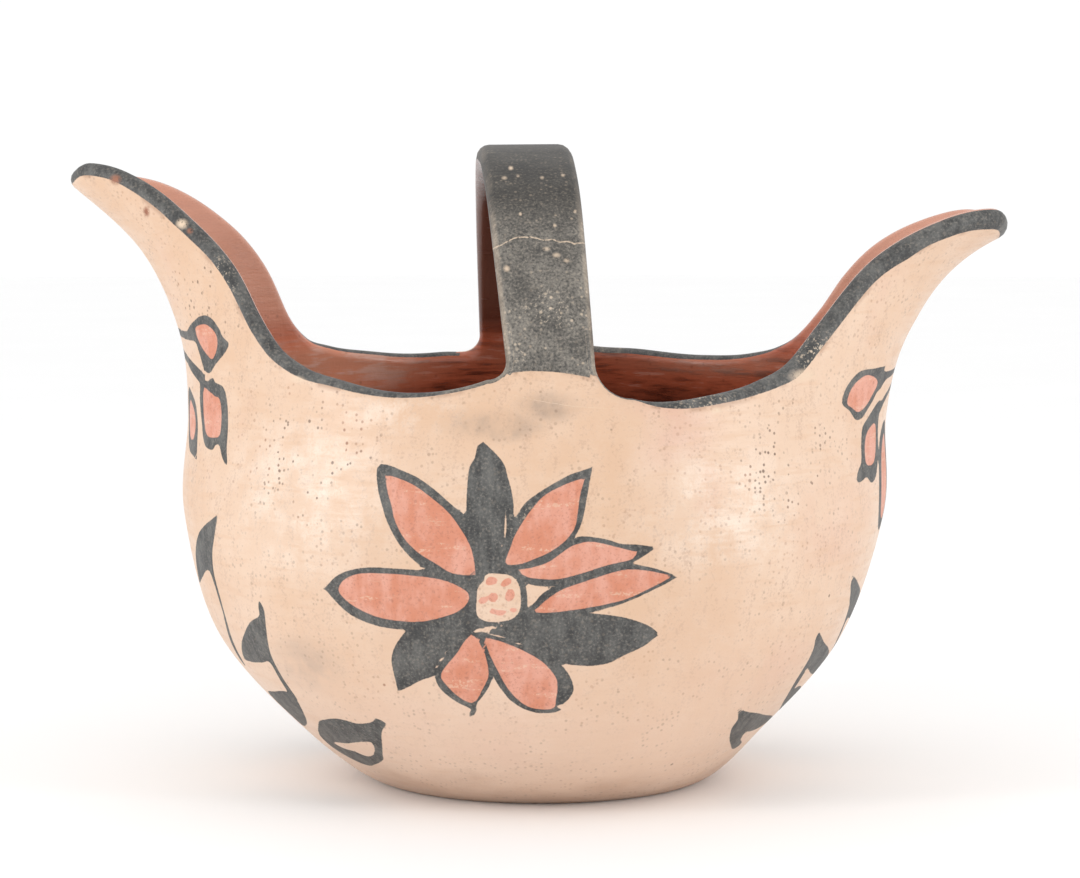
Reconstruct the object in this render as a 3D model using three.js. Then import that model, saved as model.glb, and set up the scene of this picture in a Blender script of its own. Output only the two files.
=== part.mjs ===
import * as THREE from 'three';

// A handled pottery bowl in millimetres. +Z is up, +X runs along the bowl from its left end to its
// right end, and -Y is the front. The origin is in the middle of the flat underside.
//
// The pot is one sheet of fired clay. Its outer face is part of an egg-like shell with a window over
// each end: below the windows it is the bowl, and between them it runs on over the top as the strap
// handle. A half-round lip goes all the way round both windows.

// The shell: heights, and half lengths and half width from the middle
const BASE_RADIUS = 50;
const BELLY_HEIGHT = 95;
const BELLY_LEFT = 107.2;
const BELLY_RIGHT = 104;
const BELLY_DEPTH = 93;
const CROWN_HEIGHT = 190.5;
const LEFT_REACH = 141.5;
const RIGHT_REACH = 141.5;

// The rim: its level beside the handle, and the top of each end
const RIM_HEIGHT = 122;
const LEFT_CREST = 184;
const RIGHT_CREST = 168.6;

// The clay
const WALL = 6;
const FLOOR = 8;
const STRAP_THICKNESS = 7;

// The strap handle, which leans a little: where its middle crosses the front foot, the crown and
// the back foot, and the radius where its edges run into the rim
const FOOT_WIDTH = 24.7;
const CROWN_WIDTH = 27.5;
const FRONT_FOOT_X = 3.9;
const CROWN_X = -5;
const BACK_FOOT_X = -7.6;
const FILLET_LEFT = 6;
const FILLET_RIGHT = 10;

// How much the ends are drawn in from a plain oval at the rim, as a share of the half width
const PINCH = 0.15;

// The middle's half width gives way to the ends' between these shares of the half length
const END_BLEND = [0.4, 1];

// Sections of the lower wall: height as a share of the belly's, then the share of the way out from
// the base to the belly on the left, on the right and at the front
const LOWER_SECTIONS = [
  [0.18, 0.41, 0.35, 0.6],
  [0.463, 0.827, 0.77, 0.88],
  [0.842, 1.003, 0.998, 1],
  [1.158, 0.983, 1.009, 0.932],
];

// Sections above: height as a share of the way from belly to crown, the share of the way from the
// belly to the reach on the left and on the right, and two half widths as shares of the belly's,
// one for the middle, where the strap is, and one for the ends
const UPPER_SECTIONS = [
  [0.419, 0.052, 0.208, 0.892, 0.892],
  [0.66, 0.36, 0.715, 0.763, 0.77],
  [0.869, 0.98, 1.9, 0.548, 0.62],
  [0.974, 1.37, 2.45, 0.28, 0.52],
  [1, 1.49, 2.65, 0, 0.47],
];

// The rim from the handle's foot to the end, by quarter. Each point is degrees round from the
// middle of the front or back, and the share of the rise from the rim's level to the crest.
// start is the share at the foot, where the fillet begins.
const TIP = 90;
const RIMS = {
  frontLeft: {
    start: 0.065,
    points: [[20, 0], [32, 0.04], [40, 0.095], [45.6, 0.185], [48.8, 0.325], [50.9, 0.53],
      [53.5, 0.715], [55.2, 0.87], [59.5, 0.97], [67, 0.985], [79, 0.94], [TIP, 0.92]],
  },
  backLeft: {
    start: 0.03,
    points: [[18, 0.03], [31, 0.04], [40, 0.075], [45.4, 0.125], [48.5, 0.235], [50, 0.5],
      [51.6, 0.68], [54.2, 0.83], [58.5, 0.905], [67, 0.925], [79, 0.925], [TIP, 0.92]],
  },
  frontRight: {
    start: -0.03,
    points: [[17, -0.05], [27, -0.03], [36, 0.04], [42.3, 0.143], [46, 0.327], [48.8, 0.538],
      [50.8, 0.74], [53.3, 0.87], [56.5, 0.965], [64, 0.985], [75, 0.93], [TIP, 0.885]],
  },
  backRight: {
    start: 0.09,
    points: [[18, 0.06], [30, 0.025], [40, 0.044], [46, 0.093], [50.5, 0.186], [53.5, 0.37],
      [54.5, 0.59], [55.5, 0.787], [58, 0.9], [62.5, 0.96], [73, 0.935], [TIP, 0.885]],
  },
};

// How finely the faces are divided
const FOOT_COLUMNS = 4;
const END_COLUMNS = 34;
const BASE_RINGS = 3;
const WALL_RINGS = 19;
const FILLET_ROWS = 3;
const STRAP_ROWS = 11;
const LIP_STEPS = 4;

// Steps used in measuring lengths along the profile and along the rim, and halvings in a search
const PROFILE_STEPS = 2000;
const CURVE_STEPS = 24;
const HALVINGS = 40;

// Rows of the shell as [height, half length left, half length right, half width in the middle, half
// width at the ends], from the middle of the underside to the crown
function shellSections() {
  const mix = THREE.MathUtils.lerp;
  const lower = LOWER_SECTIONS.map(([height, left, right, depth]) => [
    BELLY_HEIGHT * height,
    mix(BASE_RADIUS, BELLY_LEFT, left),
    mix(BASE_RADIUS, BELLY_RIGHT, right),
    mix(BASE_RADIUS, BELLY_DEPTH, depth),
    mix(BASE_RADIUS, BELLY_DEPTH, depth),
  ]);
  const upper = UPPER_SECTIONS.map(([height, left, right, depth, endDepth]) => [
    mix(BELLY_HEIGHT, CROWN_HEIGHT, height),
    mix(BELLY_LEFT, LEFT_REACH, left),
    mix(BELLY_RIGHT, RIGHT_REACH, right),
    BELLY_DEPTH * depth,
    BELLY_DEPTH * endDepth,
  ]);
  const disc = [0, 0.5, 1].map((share) => [0, ...Array(4).fill(BASE_RADIUS * share)]);
  return [...disc, ...lower, ...upper];
}

const sections = shellSections();
const lastSection = sections.length - 1;

// Rows past both ends of the list: the shell is even about the middle of its underside and about
// its crown
function sectionRow(index) {
  if (index < 0) return sections[1].map((value, i) => (i ? -value : value));
  if (index <= lastSection) return sections[index];
  const before = sections[lastSection - 1];
  const [, left, right, , endDepth] = sections[lastSection].map((value, i) => 2 * value - before[i]);
  return [before[0], left, right, -before[3], endDepth];
}

// A smooth section at u, from 0 in the middle of the underside to 1 at the crown
function sectionAt(u) {
  const place = THREE.MathUtils.clamp(u, 0, 1) * lastSection;
  const index = Math.min(Math.floor(place), lastSection - 1);
  const t = place - index;
  const rows = [-1, 0, 1, 2].map((step) => sectionRow(index + step));
  const [height, left, right, depth, endDepth] = sections[0].map((_, i) => {
    const [a, b, c, d] = rows.map((row) => row[i]);
    return b + 0.5 * t * (c - a + t * (2 * a - 5 * b + 4 * c - d + t * (3 * (b - c) + d - a)));
  });
  return { height: Math.max(height, 0), left, right, depth, endDepth };
}

// Lengths along the front profile, from the middle of the underside to the crown
function measureProfile() {
  const lengths = [0];
  let before = sectionAt(0);
  for (let i = 1; i <= PROFILE_STEPS; i++) {
    const here = sectionAt(i / PROFILE_STEPS);
    lengths.push(lengths[i - 1] + Math.hypot(here.height - before.height, here.depth - before.depth));
    before = here;
  }
  return lengths;
}

const profileLengths = measureProfile();
const profileLength = profileLengths[PROFILE_STEPS];

// The u at which a rising function of u reaches a value
function uWhere(value, reached) {
  let [low, high] = [0, 1];
  for (let i = 0; i < HALVINGS; i++) {
    const middle = (low + high) / 2;
    if (reached(middle) < value) low = middle;
    else high = middle;
  }
  return (low + high) / 2;
}

function lengthAt(u) {
  const place = u * PROFILE_STEPS;
  const index = Math.min(Math.floor(place), PROFILE_STEPS - 1);
  return THREE.MathUtils.lerp(profileLengths[index], profileLengths[index + 1], place - index);
}

const uAtLength = (length) => uWhere(length, lengthAt);
const uAtHeight = (height) => uWhere(height, (u) => sectionAt(u).height);

// The point of a section whose direction from the middle has this cosine and sine
function sectionPoint(section, cosine, sine) {
  const halfLength = cosine < 0 ? section.left : section.right;
  const pinch = PINCH * THREE.MathUtils.smoothstep(section.height, BELLY_HEIGHT / 2, RIM_HEIGHT);
  const towardEnd = THREE.MathUtils.smoothstep(Math.abs(cosine), ...END_BLEND);
  const depth = THREE.MathUtils.lerp(section.depth, section.endDepth, towardEnd);
  return new THREE.Vector3(
    halfLength * cosine,
    depth * sine * (1 - pinch * cosine * cosine),
    section.height,
  );
}

// The bowl's face on a flat map: the distance from the map's middle is the share of the profile
// length, and the direction is the direction round the pot
const bowlFace = {
  point([p, q]) {
    const share = Math.hypot(p, q);
    const [cosine, sine] = share > 0 ? [p / share, q / share] : [1, 0];
    return sectionPoint(sectionAt(uAtLength(share * profileLength)), cosine, sine);
  },
  step: 1e-3,
  facing: -1,
};

// The strap's face: x, and the distance along the profile from the crown, negative at the front
const strapFace = {
  point([x, along]) {
    const section = sectionAt(uAtLength(profileLength - Math.abs(along)));
    const cosine = x / (x < 0 ? section.left : section.right);
    return sectionPoint(section, cosine, Math.sign(along) * Math.sqrt(1 - cosine * cosine));
  },
  step: 0.2,
  facing: 1,
};

// Point, slopes and outward normal of a face
function frameAt(face, [a, b]) {
  const point = face.point([a, b]);
  const slope = (da, db) => face.point([a + da, b + db])
    .sub(face.point([a - da, b - db]))
    .divideScalar(2 * face.step);
  const slopes = [slope(face.step, 0), slope(0, face.step)];
  const normal = slopes[0].clone().cross(slopes[1]).normalize().multiplyScalar(face.facing);
  return { point, slopes, normal };
}

// Moves a place on a face's map by a short way given in millimetres along the face
function moved(face, place, way) {
  const { slopes: [s, t] } = frameAt(face, place);
  const [ss, st, tt] = [s.dot(s), s.dot(t), t.dot(t)];
  const [ws, wt] = [way.dot(s), way.dot(t)];
  const determinant = ss * tt - st * st;
  return [place[0] + (ws * tt - wt * st) / determinant, place[1] + (wt * ss - ws * st) / determinant];
}

// From the strap's map to the bowl's map
function onBowl([x, along]) {
  const u = uAtLength(profileLength - Math.abs(along));
  const section = sectionAt(u);
  const cosine = x / (x < 0 ? section.left : section.right);
  const share = lengthAt(u) / profileLength;
  return [share * cosine, share * Math.sign(along) * Math.sqrt(1 - cosine * cosine)];
}

// In what follows end is -1 for the front and 1 for the back, and side is -1 for the left and 1 for
// the right
const quarterAt = (end, side) => RIMS[(end < 0 ? 'front' : 'back') + (side < 0 ? 'Left' : 'Right')];

// Height at a share of the rise from the rim's level to the crest
function rimLevel(share, side) {
  return THREE.MathUtils.lerp(RIM_HEIGHT, side < 0 ? LEFT_CREST : RIGHT_CREST, share);
}

// Distance along the profile from the crown down to a height of the rim
const strapReach = (height) => profileLength - lengthAt(uAtHeight(height));
const rimReach = strapReach(RIM_HEIGHT);

// Middle and half width of the strap, at a share from -1 at the front foot to 1 at the back foot
function strapMiddle(share) {
  const lean = (BACK_FOOT_X - FRONT_FOOT_X) / 2;
  const bow = (BACK_FOOT_X + FRONT_FOOT_X) / 2 - CROWN_X;
  return CROWN_X + share * (lean + bow * share);
}
const strapHalfWidth = (share) => THREE.MathUtils.lerp(CROWN_WIDTH, FOOT_WIDTH, share * share) / 2;

// One edge of the strap on its map, from the foot's fillet up to the crown
function strapEdge(end, side) {
  const quarter = quarterAt(end, side);
  const foot = strapReach(rimLevel(quarter.start, side));
  const fillet = side < 0 ? FILLET_LEFT : FILLET_RIGHT;
  const edge = [];
  const add = (distance, flare) => {
    const share = (end * distance) / rimReach;
    edge.push([strapMiddle(share) + side * (strapHalfWidth(share) + flare), end * distance]);
  };
  for (let row = 0; row < FILLET_ROWS; row++) {
    const turn = (Math.PI / 2) * (row / FILLET_ROWS);
    add(foot - fillet * (1 - Math.cos(turn)), fillet * (1 - Math.sin(turn)));
  }
  for (let row = 0; row <= STRAP_ROWS; row++) {
    add((foot - fillet) * (1 - row / STRAP_ROWS), 0);
  }
  return edge;
}

// The rim round one end of the bowl, on the bowl's map, with even steps along the clay. It goes
// from the front foot to the back foot.
function rimCurve(side, frontStart, backStart) {
  const quarter = (end) => quarterAt(end, side).points.map(([degrees, share]) => {
    const length = lengthAt(uAtHeight(rimLevel(share, side))) / profileLength;
    const turn = THREE.MathUtils.degToRad(degrees);
    return new THREE.Vector3(side * length * Math.sin(turn), end * length * Math.cos(turn), 0);
  });
  const [first, last] = [frontStart, backStart].map((place) => new THREE.Vector3(...place, 0));
  const places = [first, ...quarter(-1), ...quarter(1).slice(0, -1).reverse(), last];
  const curve = new THREE.CatmullRomCurve3(places, false, 'centripetal');
  const fine = curve.getPoints(CURVE_STEPS * places.length).map(({ x, y }) => [x, y]);
  const lengths = [0];
  fine.forEach((place, i) => {
    if (i) lengths.push(lengths[i - 1] + bowlFace.point(place).distanceTo(bowlFace.point(fine[i - 1])));
  });
  const rim = [];
  for (let column = 0; column <= END_COLUMNS; column++) {
    const wanted = (lengths.at(-1) * column) / END_COLUMNS;
    const above = lengths.findIndex((length) => length >= wanted);
    const index = above < 0 ? lengths.length - 1 : Math.max(1, above);
    const t = (wanted - lengths[index - 1]) / (lengths[index] - lengths[index - 1]);
    rim.push([0, 1].map((i) => THREE.MathUtils.lerp(fine[index - 1][i], fine[index][i], t)));
  }
  return rim;
}

// The edge of the clay round one window, as a closed loop of places on the bowl's and the strap's
// maps. Then each place is drawn in from the edge by the radius of the lip.
function windowLoop(side) {
  const [front, back] = [-1, 1].map((end) => strapEdge(end, side));
  const rim = rimCurve(side, onBowl(front[0]), onBowl(back[0]));
  const strap = [...back.slice(1), ...front.slice(1, -1).reverse()];
  const loop = [
    ...rim.map((place) => ({ face: bowlFace, place })),
    ...strap.map((place) => ({ face: strapFace, place })),
  ];
  const edges = loop.map(({ face, place }) => face.point(place));
  return loop.map(({ face, place }, i) => {
    const along = edges[(i + 1) % edges.length].clone().sub(edges.at(i - 1));
    const { normal } = frameAt(face, place);
    const inward = normal.clone().cross(along).normalize().multiplyScalar(-side);
    return { face, place: moved(face, place, inward.multiplyScalar(clayAt(face, place) / 2)) };
  });
}

// Thickness of the clay: floor, wall and strap run into each other
function clayAt(face, place) {
  const smooth = THREE.MathUtils.smoothstep;
  if (face === strapFace) {
    const fromFoot = rimReach - Math.abs(place[1]);
    return THREE.MathUtils.lerp(WALL, STRAP_THICKNESS, smooth(fromFoot, FILLET_RIGHT, rimReach / 2));
  }
  const { height } = sectionAt(uAtLength(Math.hypot(...place) * profileLength));
  return THREE.MathUtils.lerp(FLOOR, WALL, smooth(height, 0, BELLY_HEIGHT / 2));
}

// Collects vertices and triangles of the closed body
class Clay {
  constructor() {
    this.positions = [];
    this.triangles = [];
  }

  vertex(point) {
    this.positions.push(point.x, point.y, point.z);
    return this.positions.length / 3 - 1;
  }

  // A place on a face with both sides of the clay there
  sheet(face, place) {
    const { point, normal } = frameAt(face, place);
    const inside = point.clone().addScaledVector(normal, -clayAt(face, place));
    return { face, place, point, normal, outer: this.vertex(point), inner: this.vertex(inside) };
  }

  quad(a, b, c, d) {
    this.triangles.push(a, b, c, a, c, d);
  }

  // Both sides of the clay between a middle place and the ring round it
  fan(middle, ring) {
    for (let i = 0; i + 1 < ring.length; i++) {
      this.triangles.push(middle.outer, ring[i + 1].outer, ring[i].outer);
      this.triangles.push(middle.inner, ring[i].inner, ring[i + 1].inner);
    }
  }

  // Both sides of the clay between two neighbouring rows of sheet places
  strip(low, high) {
    for (let i = 0; i + 1 < low.length; i++) {
      this.quad(low[i].outer, low[i + 1].outer, high[i + 1].outer, high[i].outer);
      this.quad(low[i].inner, high[i].inner, high[i + 1].inner, low[i + 1].inner);
    }
  }

  // The half-round lip along a closed loop of sheet places
  lip(loop) {
    const rows = loop.map((sheet, i) => {
      const along = loop[(i + 1) % loop.length].point.clone().sub(loop.at(i - 1).point);
      const out = sheet.normal.clone().cross(along).normalize();
      const radius = clayAt(sheet.face, sheet.place) / 2;
      const middle = sheet.point.clone().addScaledVector(sheet.normal, -radius);
      const row = [sheet.outer];
      for (let step = 1; step < LIP_STEPS; step++) {
        const turn = (Math.PI * step) / LIP_STEPS;
        row.push(this.vertex(middle.clone()
          .addScaledVector(sheet.normal, radius * Math.cos(turn))
          .addScaledVector(out, radius * Math.sin(turn))));
      }
      return [...row, sheet.inner];
    });
    rows.forEach((row, i) => {
      const next = rows[(i + 1) % rows.length];
      for (let step = 0; step < LIP_STEPS; step++) {
        this.quad(row[step], next[step], next[step + 1], row[step + 1]);
      }
    });
  }

  geometry() {
    const geometry = new THREE.BufferGeometry();
    geometry.setAttribute('position', new THREE.Float32BufferAttribute(this.positions, 3));
    geometry.setIndex(this.triangles);
    geometry.computeVertexNormals();
    return geometry;
  }
}

// Places in a straight line on a map, without both ends
function between(from, to, steps) {
  return Array.from({ length: steps - 1 }, (_, i) => [0, 1].map((axis) => (
    THREE.MathUtils.lerp(from[axis], to[axis], (i + 1) / steps))));
}

function buildBowl() {
  const clay = new Clay();
  const asSheet = ({ face, place }) => clay.sheet(face, place);
  const windows = { left: windowLoop(-1), right: windowLoop(1) };
  const rimCount = END_COLUMNS + 1;

  // The top row of the bowl goes round from the front foot by the right end and the back foot to
  // the left end. Each foot row lies between two loops.
  const right = windows.right.map(asSheet);
  const left = windows.left.map(asSheet);
  const rightRim = right.slice(0, rimCount);
  const leftRim = left.slice(0, rimCount);
  const footRow = (from, to) => between(from.place, to.place, FOOT_COLUMNS)
    .map((place) => clay.sheet(bowlFace, place));
  const frontFoot = [leftRim[0], ...footRow(leftRim[0], rightRim[0]), rightRim[0]];
  const backFoot = [leftRim.at(-1), ...footRow(leftRim.at(-1), rightRim.at(-1)), rightRim.at(-1)];
  const top = [
    ...frontFoot,
    ...rightRim.slice(1),
    ...backFoot.slice(0, -1).reverse(),
    ...leftRim.slice(0, -1).reverse(),
  ];

  // Rings up the wall, between the edge of the flat base and the top row. Round the base each
  // column stands half way between its own direction at the top and an even spread.
  const fullTurn = 2 * Math.PI;
  const baseShare = BASE_RADIUS / profileLength;
  const even = (i) => fullTurn * ((i - FOOT_COLUMNS / 2) / (top.length - 1) - 1 / 4);
  const baseTurn = (sheet, i) => {
    const own = Math.atan2(sheet.place[1], sheet.place[0]);
    const offset = own - even(i);
    return even(i) + (offset - fullTurn * Math.round(offset / fullTurn)) / 2;
  };
  const turns = top.slice(0, -1).map(baseTurn);
  const discRing = (share) => turns.map((turn) => (
    clay.sheet(bowlFace, [share * Math.cos(turn), share * Math.sin(turn)])));
  const rings = [];
  for (let ring = 1; ring <= BASE_RINGS; ring++) {
    rings.push(discRing((baseShare * ring) / BASE_RINGS));
  }
  const edge = rings.at(-1);
  for (let ring = 1; ring < WALL_RINGS; ring++) {
    rings.push(edge.map((low, i) => clay.sheet(bowlFace, [0, 1].map((axis) => (
      THREE.MathUtils.lerp(low.place[axis], top[i].place[axis], ring / WALL_RINGS))))));
  }
  rings.push(top.slice(0, -1));
  const closed = rings.map((ring) => [...ring, ring[0]]);
  closed.slice(1).forEach((ring, i) => clay.strip(closed[i], ring));
  clay.fan(clay.sheet(bowlFace, [0, 0]), closed[0]);

  // Rows across the strap, from the front foot over the crown to the back foot
  const leftEdge = left.slice(rimCount).reverse();
  const rightEdge = right.slice(rimCount).reverse();
  const rows = leftEdge.map((from, i) => [
    from,
    ...between(from.place, rightEdge[i].place, FOOT_COLUMNS)
      .map((place) => clay.sheet(strapFace, place)),
    rightEdge[i],
  ]);
  const strap = [frontFoot, ...rows, backFoot];
  strap.slice(1).forEach((row, i) => clay.strip(strap[i], row));

  clay.lip(right);
  clay.lip([...left].reverse());
  return clay.geometry();
}

const clayMaterial = new THREE.MeshStandardMaterial({ color: 0xe6cba8, roughness: 0.5, metalness: 0 });

const pot = new THREE.Group();
const handledBowl = new THREE.Mesh(buildBowl(), clayMaterial);
handledBowl.name = 'handled_bowl';
pot.add(handledBowl);

export default pot;
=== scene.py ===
"""Looks of a handled pottery bowl: the fine clay surface, its slip and paint, and a plain studio.

The fired-clay body is worked out here again as a fine mesh with the form of the solid: one sheet of
clay on an egg-like shell, open in a window over each end, with a strap handle between the windows.
Lengths are in millimetres until a mesh is made. +Z is up, +X runs from the higher end to the lower
one, and -Y is the side with the big flower.
"""
from __future__ import annotations

import logging
import math
from dataclasses import dataclass, field
from enum import Enum

import bpy
import numpy as np
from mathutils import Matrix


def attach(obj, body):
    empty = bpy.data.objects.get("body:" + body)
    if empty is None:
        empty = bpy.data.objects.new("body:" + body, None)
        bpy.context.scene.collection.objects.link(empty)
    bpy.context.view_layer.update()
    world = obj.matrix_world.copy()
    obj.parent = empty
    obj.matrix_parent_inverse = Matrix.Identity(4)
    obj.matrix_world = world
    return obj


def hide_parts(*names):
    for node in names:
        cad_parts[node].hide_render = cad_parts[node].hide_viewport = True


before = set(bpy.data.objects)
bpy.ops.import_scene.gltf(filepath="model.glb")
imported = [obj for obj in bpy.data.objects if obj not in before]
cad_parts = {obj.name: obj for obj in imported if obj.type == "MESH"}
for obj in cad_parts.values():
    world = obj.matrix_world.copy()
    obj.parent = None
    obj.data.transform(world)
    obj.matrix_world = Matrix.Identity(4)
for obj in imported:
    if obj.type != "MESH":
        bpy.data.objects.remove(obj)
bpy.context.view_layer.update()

log = logging.getLogger("handled_bowl")
Array = np.ndarray
MM = 0.001
TINY = 1e-12


def mix(low: float | Array, high: float | Array, share: float | Array) -> float | Array:
    """Straight way from low to high."""
    return low + (high - low) * share


def dot(one: Array, two: Array) -> Array:
    """Sum of products along the last axis."""
    return np.sum(one * two, axis=-1)


def smoothstep(value: Array, low: float, high: float) -> Array:
    """Soft step: 3 t^2 - 2 t^3, with t the share of the way from low to high."""
    t = np.clip((value - low) / (high - low), 0.0, 1.0)
    return t * t * (3.0 - 2.0 * t)


def catmull_rom(before: Array, start: Array, end: Array, after: Array, t: Array) -> Array:
    """Uniform Catmull-Rom curve from start to end.

    It is the cubic whose slope at each end is half of the way between that end's two neighbours.

    Args:
        before: the point before the start.
        start: where the curve is at t = 0.
        end: where it is at t = 1.
        after: the point after the end.
        t: the share of the way.

    Returns:
        The points at t.
    """
    return start + 0.5 * t * (
        end - before
        + t * (2 * before - 5 * start + 4 * end - after + t * (3 * (start - end) + after - before))
    )


# The form of the clay


class Face(Enum):
    """The two maps that the clay's outer face is drawn on."""

    BOWL = "bowl"
    STRAP = "strap"


@dataclass(frozen=True)
class Shell:
    """The egg-like shell that the outer face lies on, as a stack of level sections.

    A section has a height, a half length to the left and to the right, and two half widths, one in
    the middle and one toward the ends. Between its rows the stack follows a Catmull-Rom curve in u,
    from 0 in the middle of the underside to 1 at the crown of the handle.
    """

    base_radius: float = 50.0
    belly_height: float = 95.0
    belly_left: float = 107.2
    belly_right: float = 104.0
    belly_depth: float = 93.0
    crown_height: float = 190.5
    reach: float = 141.2
    rim_height: float = 122.0
    pinch: float = 0.15
    end_blend: tuple[float, float] = (0.4, 1.0)
    bowl_step: float = 1e-3
    strap_step: float = 0.2
    samples: int = 4001
    lower: tuple[tuple[float, ...], ...] = (
        (0.18, 0.41, 0.35, 0.6),
        (0.463, 0.827, 0.77, 0.88),
        (0.842, 1.003, 0.998, 1.0),
        (1.158, 0.983, 1.009, 0.932),
    )
    upper: tuple[tuple[float, ...], ...] = (
        (0.419, 0.052, 0.208, 0.892, 0.892),
        (0.66, 0.36, 0.715, 0.763, 0.77),
        (0.869, 0.98, 1.9, 0.548, 0.62),
        (0.974, 1.37, 2.45, 0.28, 0.52),
        (1.0, 1.49, 2.65, 0.0, 0.47),
    )
    rows: Array = field(init=False)
    u_steps: Array = field(init=False)
    lengths: Array = field(init=False)
    heights: Array = field(init=False)

    def __post_init__(self) -> None:
        """Stacks the rows and measures the front profile."""
        disc = [[0.0] + [self.base_radius * share] * 4 for share in (0.0, 0.5, 1.0)]
        base, depth = self.base_radius, self.belly_depth
        lower = [
            [self.belly_height * h, mix(base, self.belly_left, left),
             mix(base, self.belly_right, right), mix(base, depth, wide), mix(base, depth, wide)]
            for h, left, right, wide in self.lower
        ]
        upper = [
            [mix(self.belly_height, self.crown_height, h), mix(self.belly_left, self.reach, left),
             mix(self.belly_right, self.reach, right), depth * wide, depth * end]
            for h, left, right, wide, end in self.upper
        ]
        rows = np.array(disc + lower + upper)
        under = rows[1] * np.array([1, -1, -1, -1, -1])
        over = 2 * rows[-1] - rows[-2]
        over[0], over[3] = rows[-2][0], -rows[-2][3]
        object.__setattr__(self, "rows", np.vstack([under, rows, over]))
        steps = np.linspace(0, 1, self.samples)
        profile = self.section(steps)
        pieces = np.hypot(np.diff(profile[:, 0]), np.diff(profile[:, 3]))
        object.__setattr__(self, "u_steps", steps)
        object.__setattr__(self, "lengths", np.concatenate([[0], np.cumsum(pieces)]))
        object.__setattr__(self, "heights", profile[:, 0])

    @property
    def length(self) -> float:
        """Length of the front profile from the middle of the underside to the crown."""
        return float(self.lengths[-1])

    def section(self, u: Array) -> Array:
        """Sections of the shell, on the Catmull-Rom curve through its rows.

        Args:
            u: from 0 in the middle of the underside to 1 at the crown.

        Returns:
            Along the last axis: height, half length to the left and to the right, and half width in
            the middle and toward the ends.
        """
        last = len(self.rows) - 3
        place = np.clip(u, 0, 1) * last
        index = np.minimum(place.astype(int), last - 1)
        rows = [self.rows[index + k] for k in range(4)]
        section = catmull_rom(*rows, (place - index)[..., None])
        section[..., 0] = np.maximum(section[..., 0], 0)
        return section

    def u_at_length(self, length: Array) -> Array:
        """The u at a length along the front profile."""
        return np.interp(length, self.lengths, self.u_steps)

    def length_at_height(self, height: Array) -> Array:
        """Length along the front profile up to a height."""
        return np.interp(height, self.heights, self.lengths)

    def on_section(self, section: Array, cosine: Array, sine: Array) -> Array:
        """Points of sections in given directions.

        x is the half length times the cosine. y is the half width times the sine, where the half
        width goes over from the middle's to the ends' and is pinched by the cosine squared.

        Args:
            section: sections as the method of that name gives them.
            cosine: cosine of the direction round the pot, from the right.
            sine: its sine, which is negative at the front.

        Returns:
            Points in space.
        """
        half = np.where(cosine < 0, section[..., 1], section[..., 2])
        pinch = self.pinch * smoothstep(section[..., 0], self.belly_height / 2, self.rim_height)
        wide = mix(section[..., 3], section[..., 4], smoothstep(np.abs(cosine), *self.end_blend))
        return np.stack([half * cosine, wide * sine * (1 - pinch * cosine**2), section[..., 0]], -1)

    def point(self, face: Face, places: Array) -> Array:
        """Points of the outer face.

        On the bowl's map the distance from the middle is the share of the profile's length, and the
        direction is the direction round the pot. On the strap's map a place is x and the distance
        along the profile from the crown, negative at the front.

        Args:
            face: the map that is used.
            places: places on it, as pairs along the last axis.

        Returns:
            Points in space.
        """
        a, b = places[..., 0], places[..., 1]
        if face is Face.BOWL:
            share = np.hypot(a, b)
            safe = np.where(share > 0, share, 1)
            section = self.section(self.u_at_length(share * self.length))
            return self.on_section(section, np.where(share > 0, a / safe, 1), b / safe)
        section = self.section(self.u_at_length(self.length - np.abs(b)))
        cosine = a / np.where(a < 0, section[..., 1], section[..., 2])
        return self.on_section(section, cosine, np.sign(b) * np.sqrt(np.clip(1 - cosine**2, 0, 1)))

    def slopes(self, face: Face, places: Array) -> tuple[Array, Array, Array]:
        """Slopes of the outer face, by central differences.

        Args:
            face: the map that is used.
            places: places on it.

        Returns:
            The slope along each axis of the map, and the outward normal.
        """
        step = self.bowl_step if face is Face.BOWL else self.strap_step
        first, second = (
            (self.point(face, places + way) - self.point(face, places - way)) / (2 * step)
            for way in (np.array([step, 0.0]), np.array([0.0, step]))
        )
        normal = np.cross(first, second) * (-1 if face is Face.BOWL else 1)
        return first, second, normal / np.linalg.norm(normal, axis=-1, keepdims=True)

    def moved(self, face: Face, places: Array, way: Array) -> Array:
        """Moves places along the face by a short way in space.

        The shift on the map solves the two equations for the way's products with both slopes.

        Args:
            face: the map that is used.
            places: places on it.
            way: the way to go from each.

        Returns:
            The new places.
        """
        first, second, _ = self.slopes(face, places)
        ss, st, tt = dot(first, first), dot(first, second), dot(second, second)
        ws, wt = dot(way, first), dot(way, second)
        shift = np.stack([ws * tt - wt * st, wt * ss - ws * st], -1)
        return places + shift / (ss * tt - st * st)[..., None]

    def on_bowl(self, place: Array) -> Array:
        """Goes over from the strap's map to the bowl's.

        Args:
            place: one place on the strap's map.

        Returns:
            The same place on the bowl's map.
        """
        length = self.length - abs(place[1])
        section = self.section(np.array(self.u_at_length(length)))
        cosine = place[0] / (section[1] if place[0] < 0 else section[2])
        share = length / self.length
        return np.array([share * cosine, share * np.sign(place[1]) * math.sqrt(1 - cosine**2)])


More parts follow.
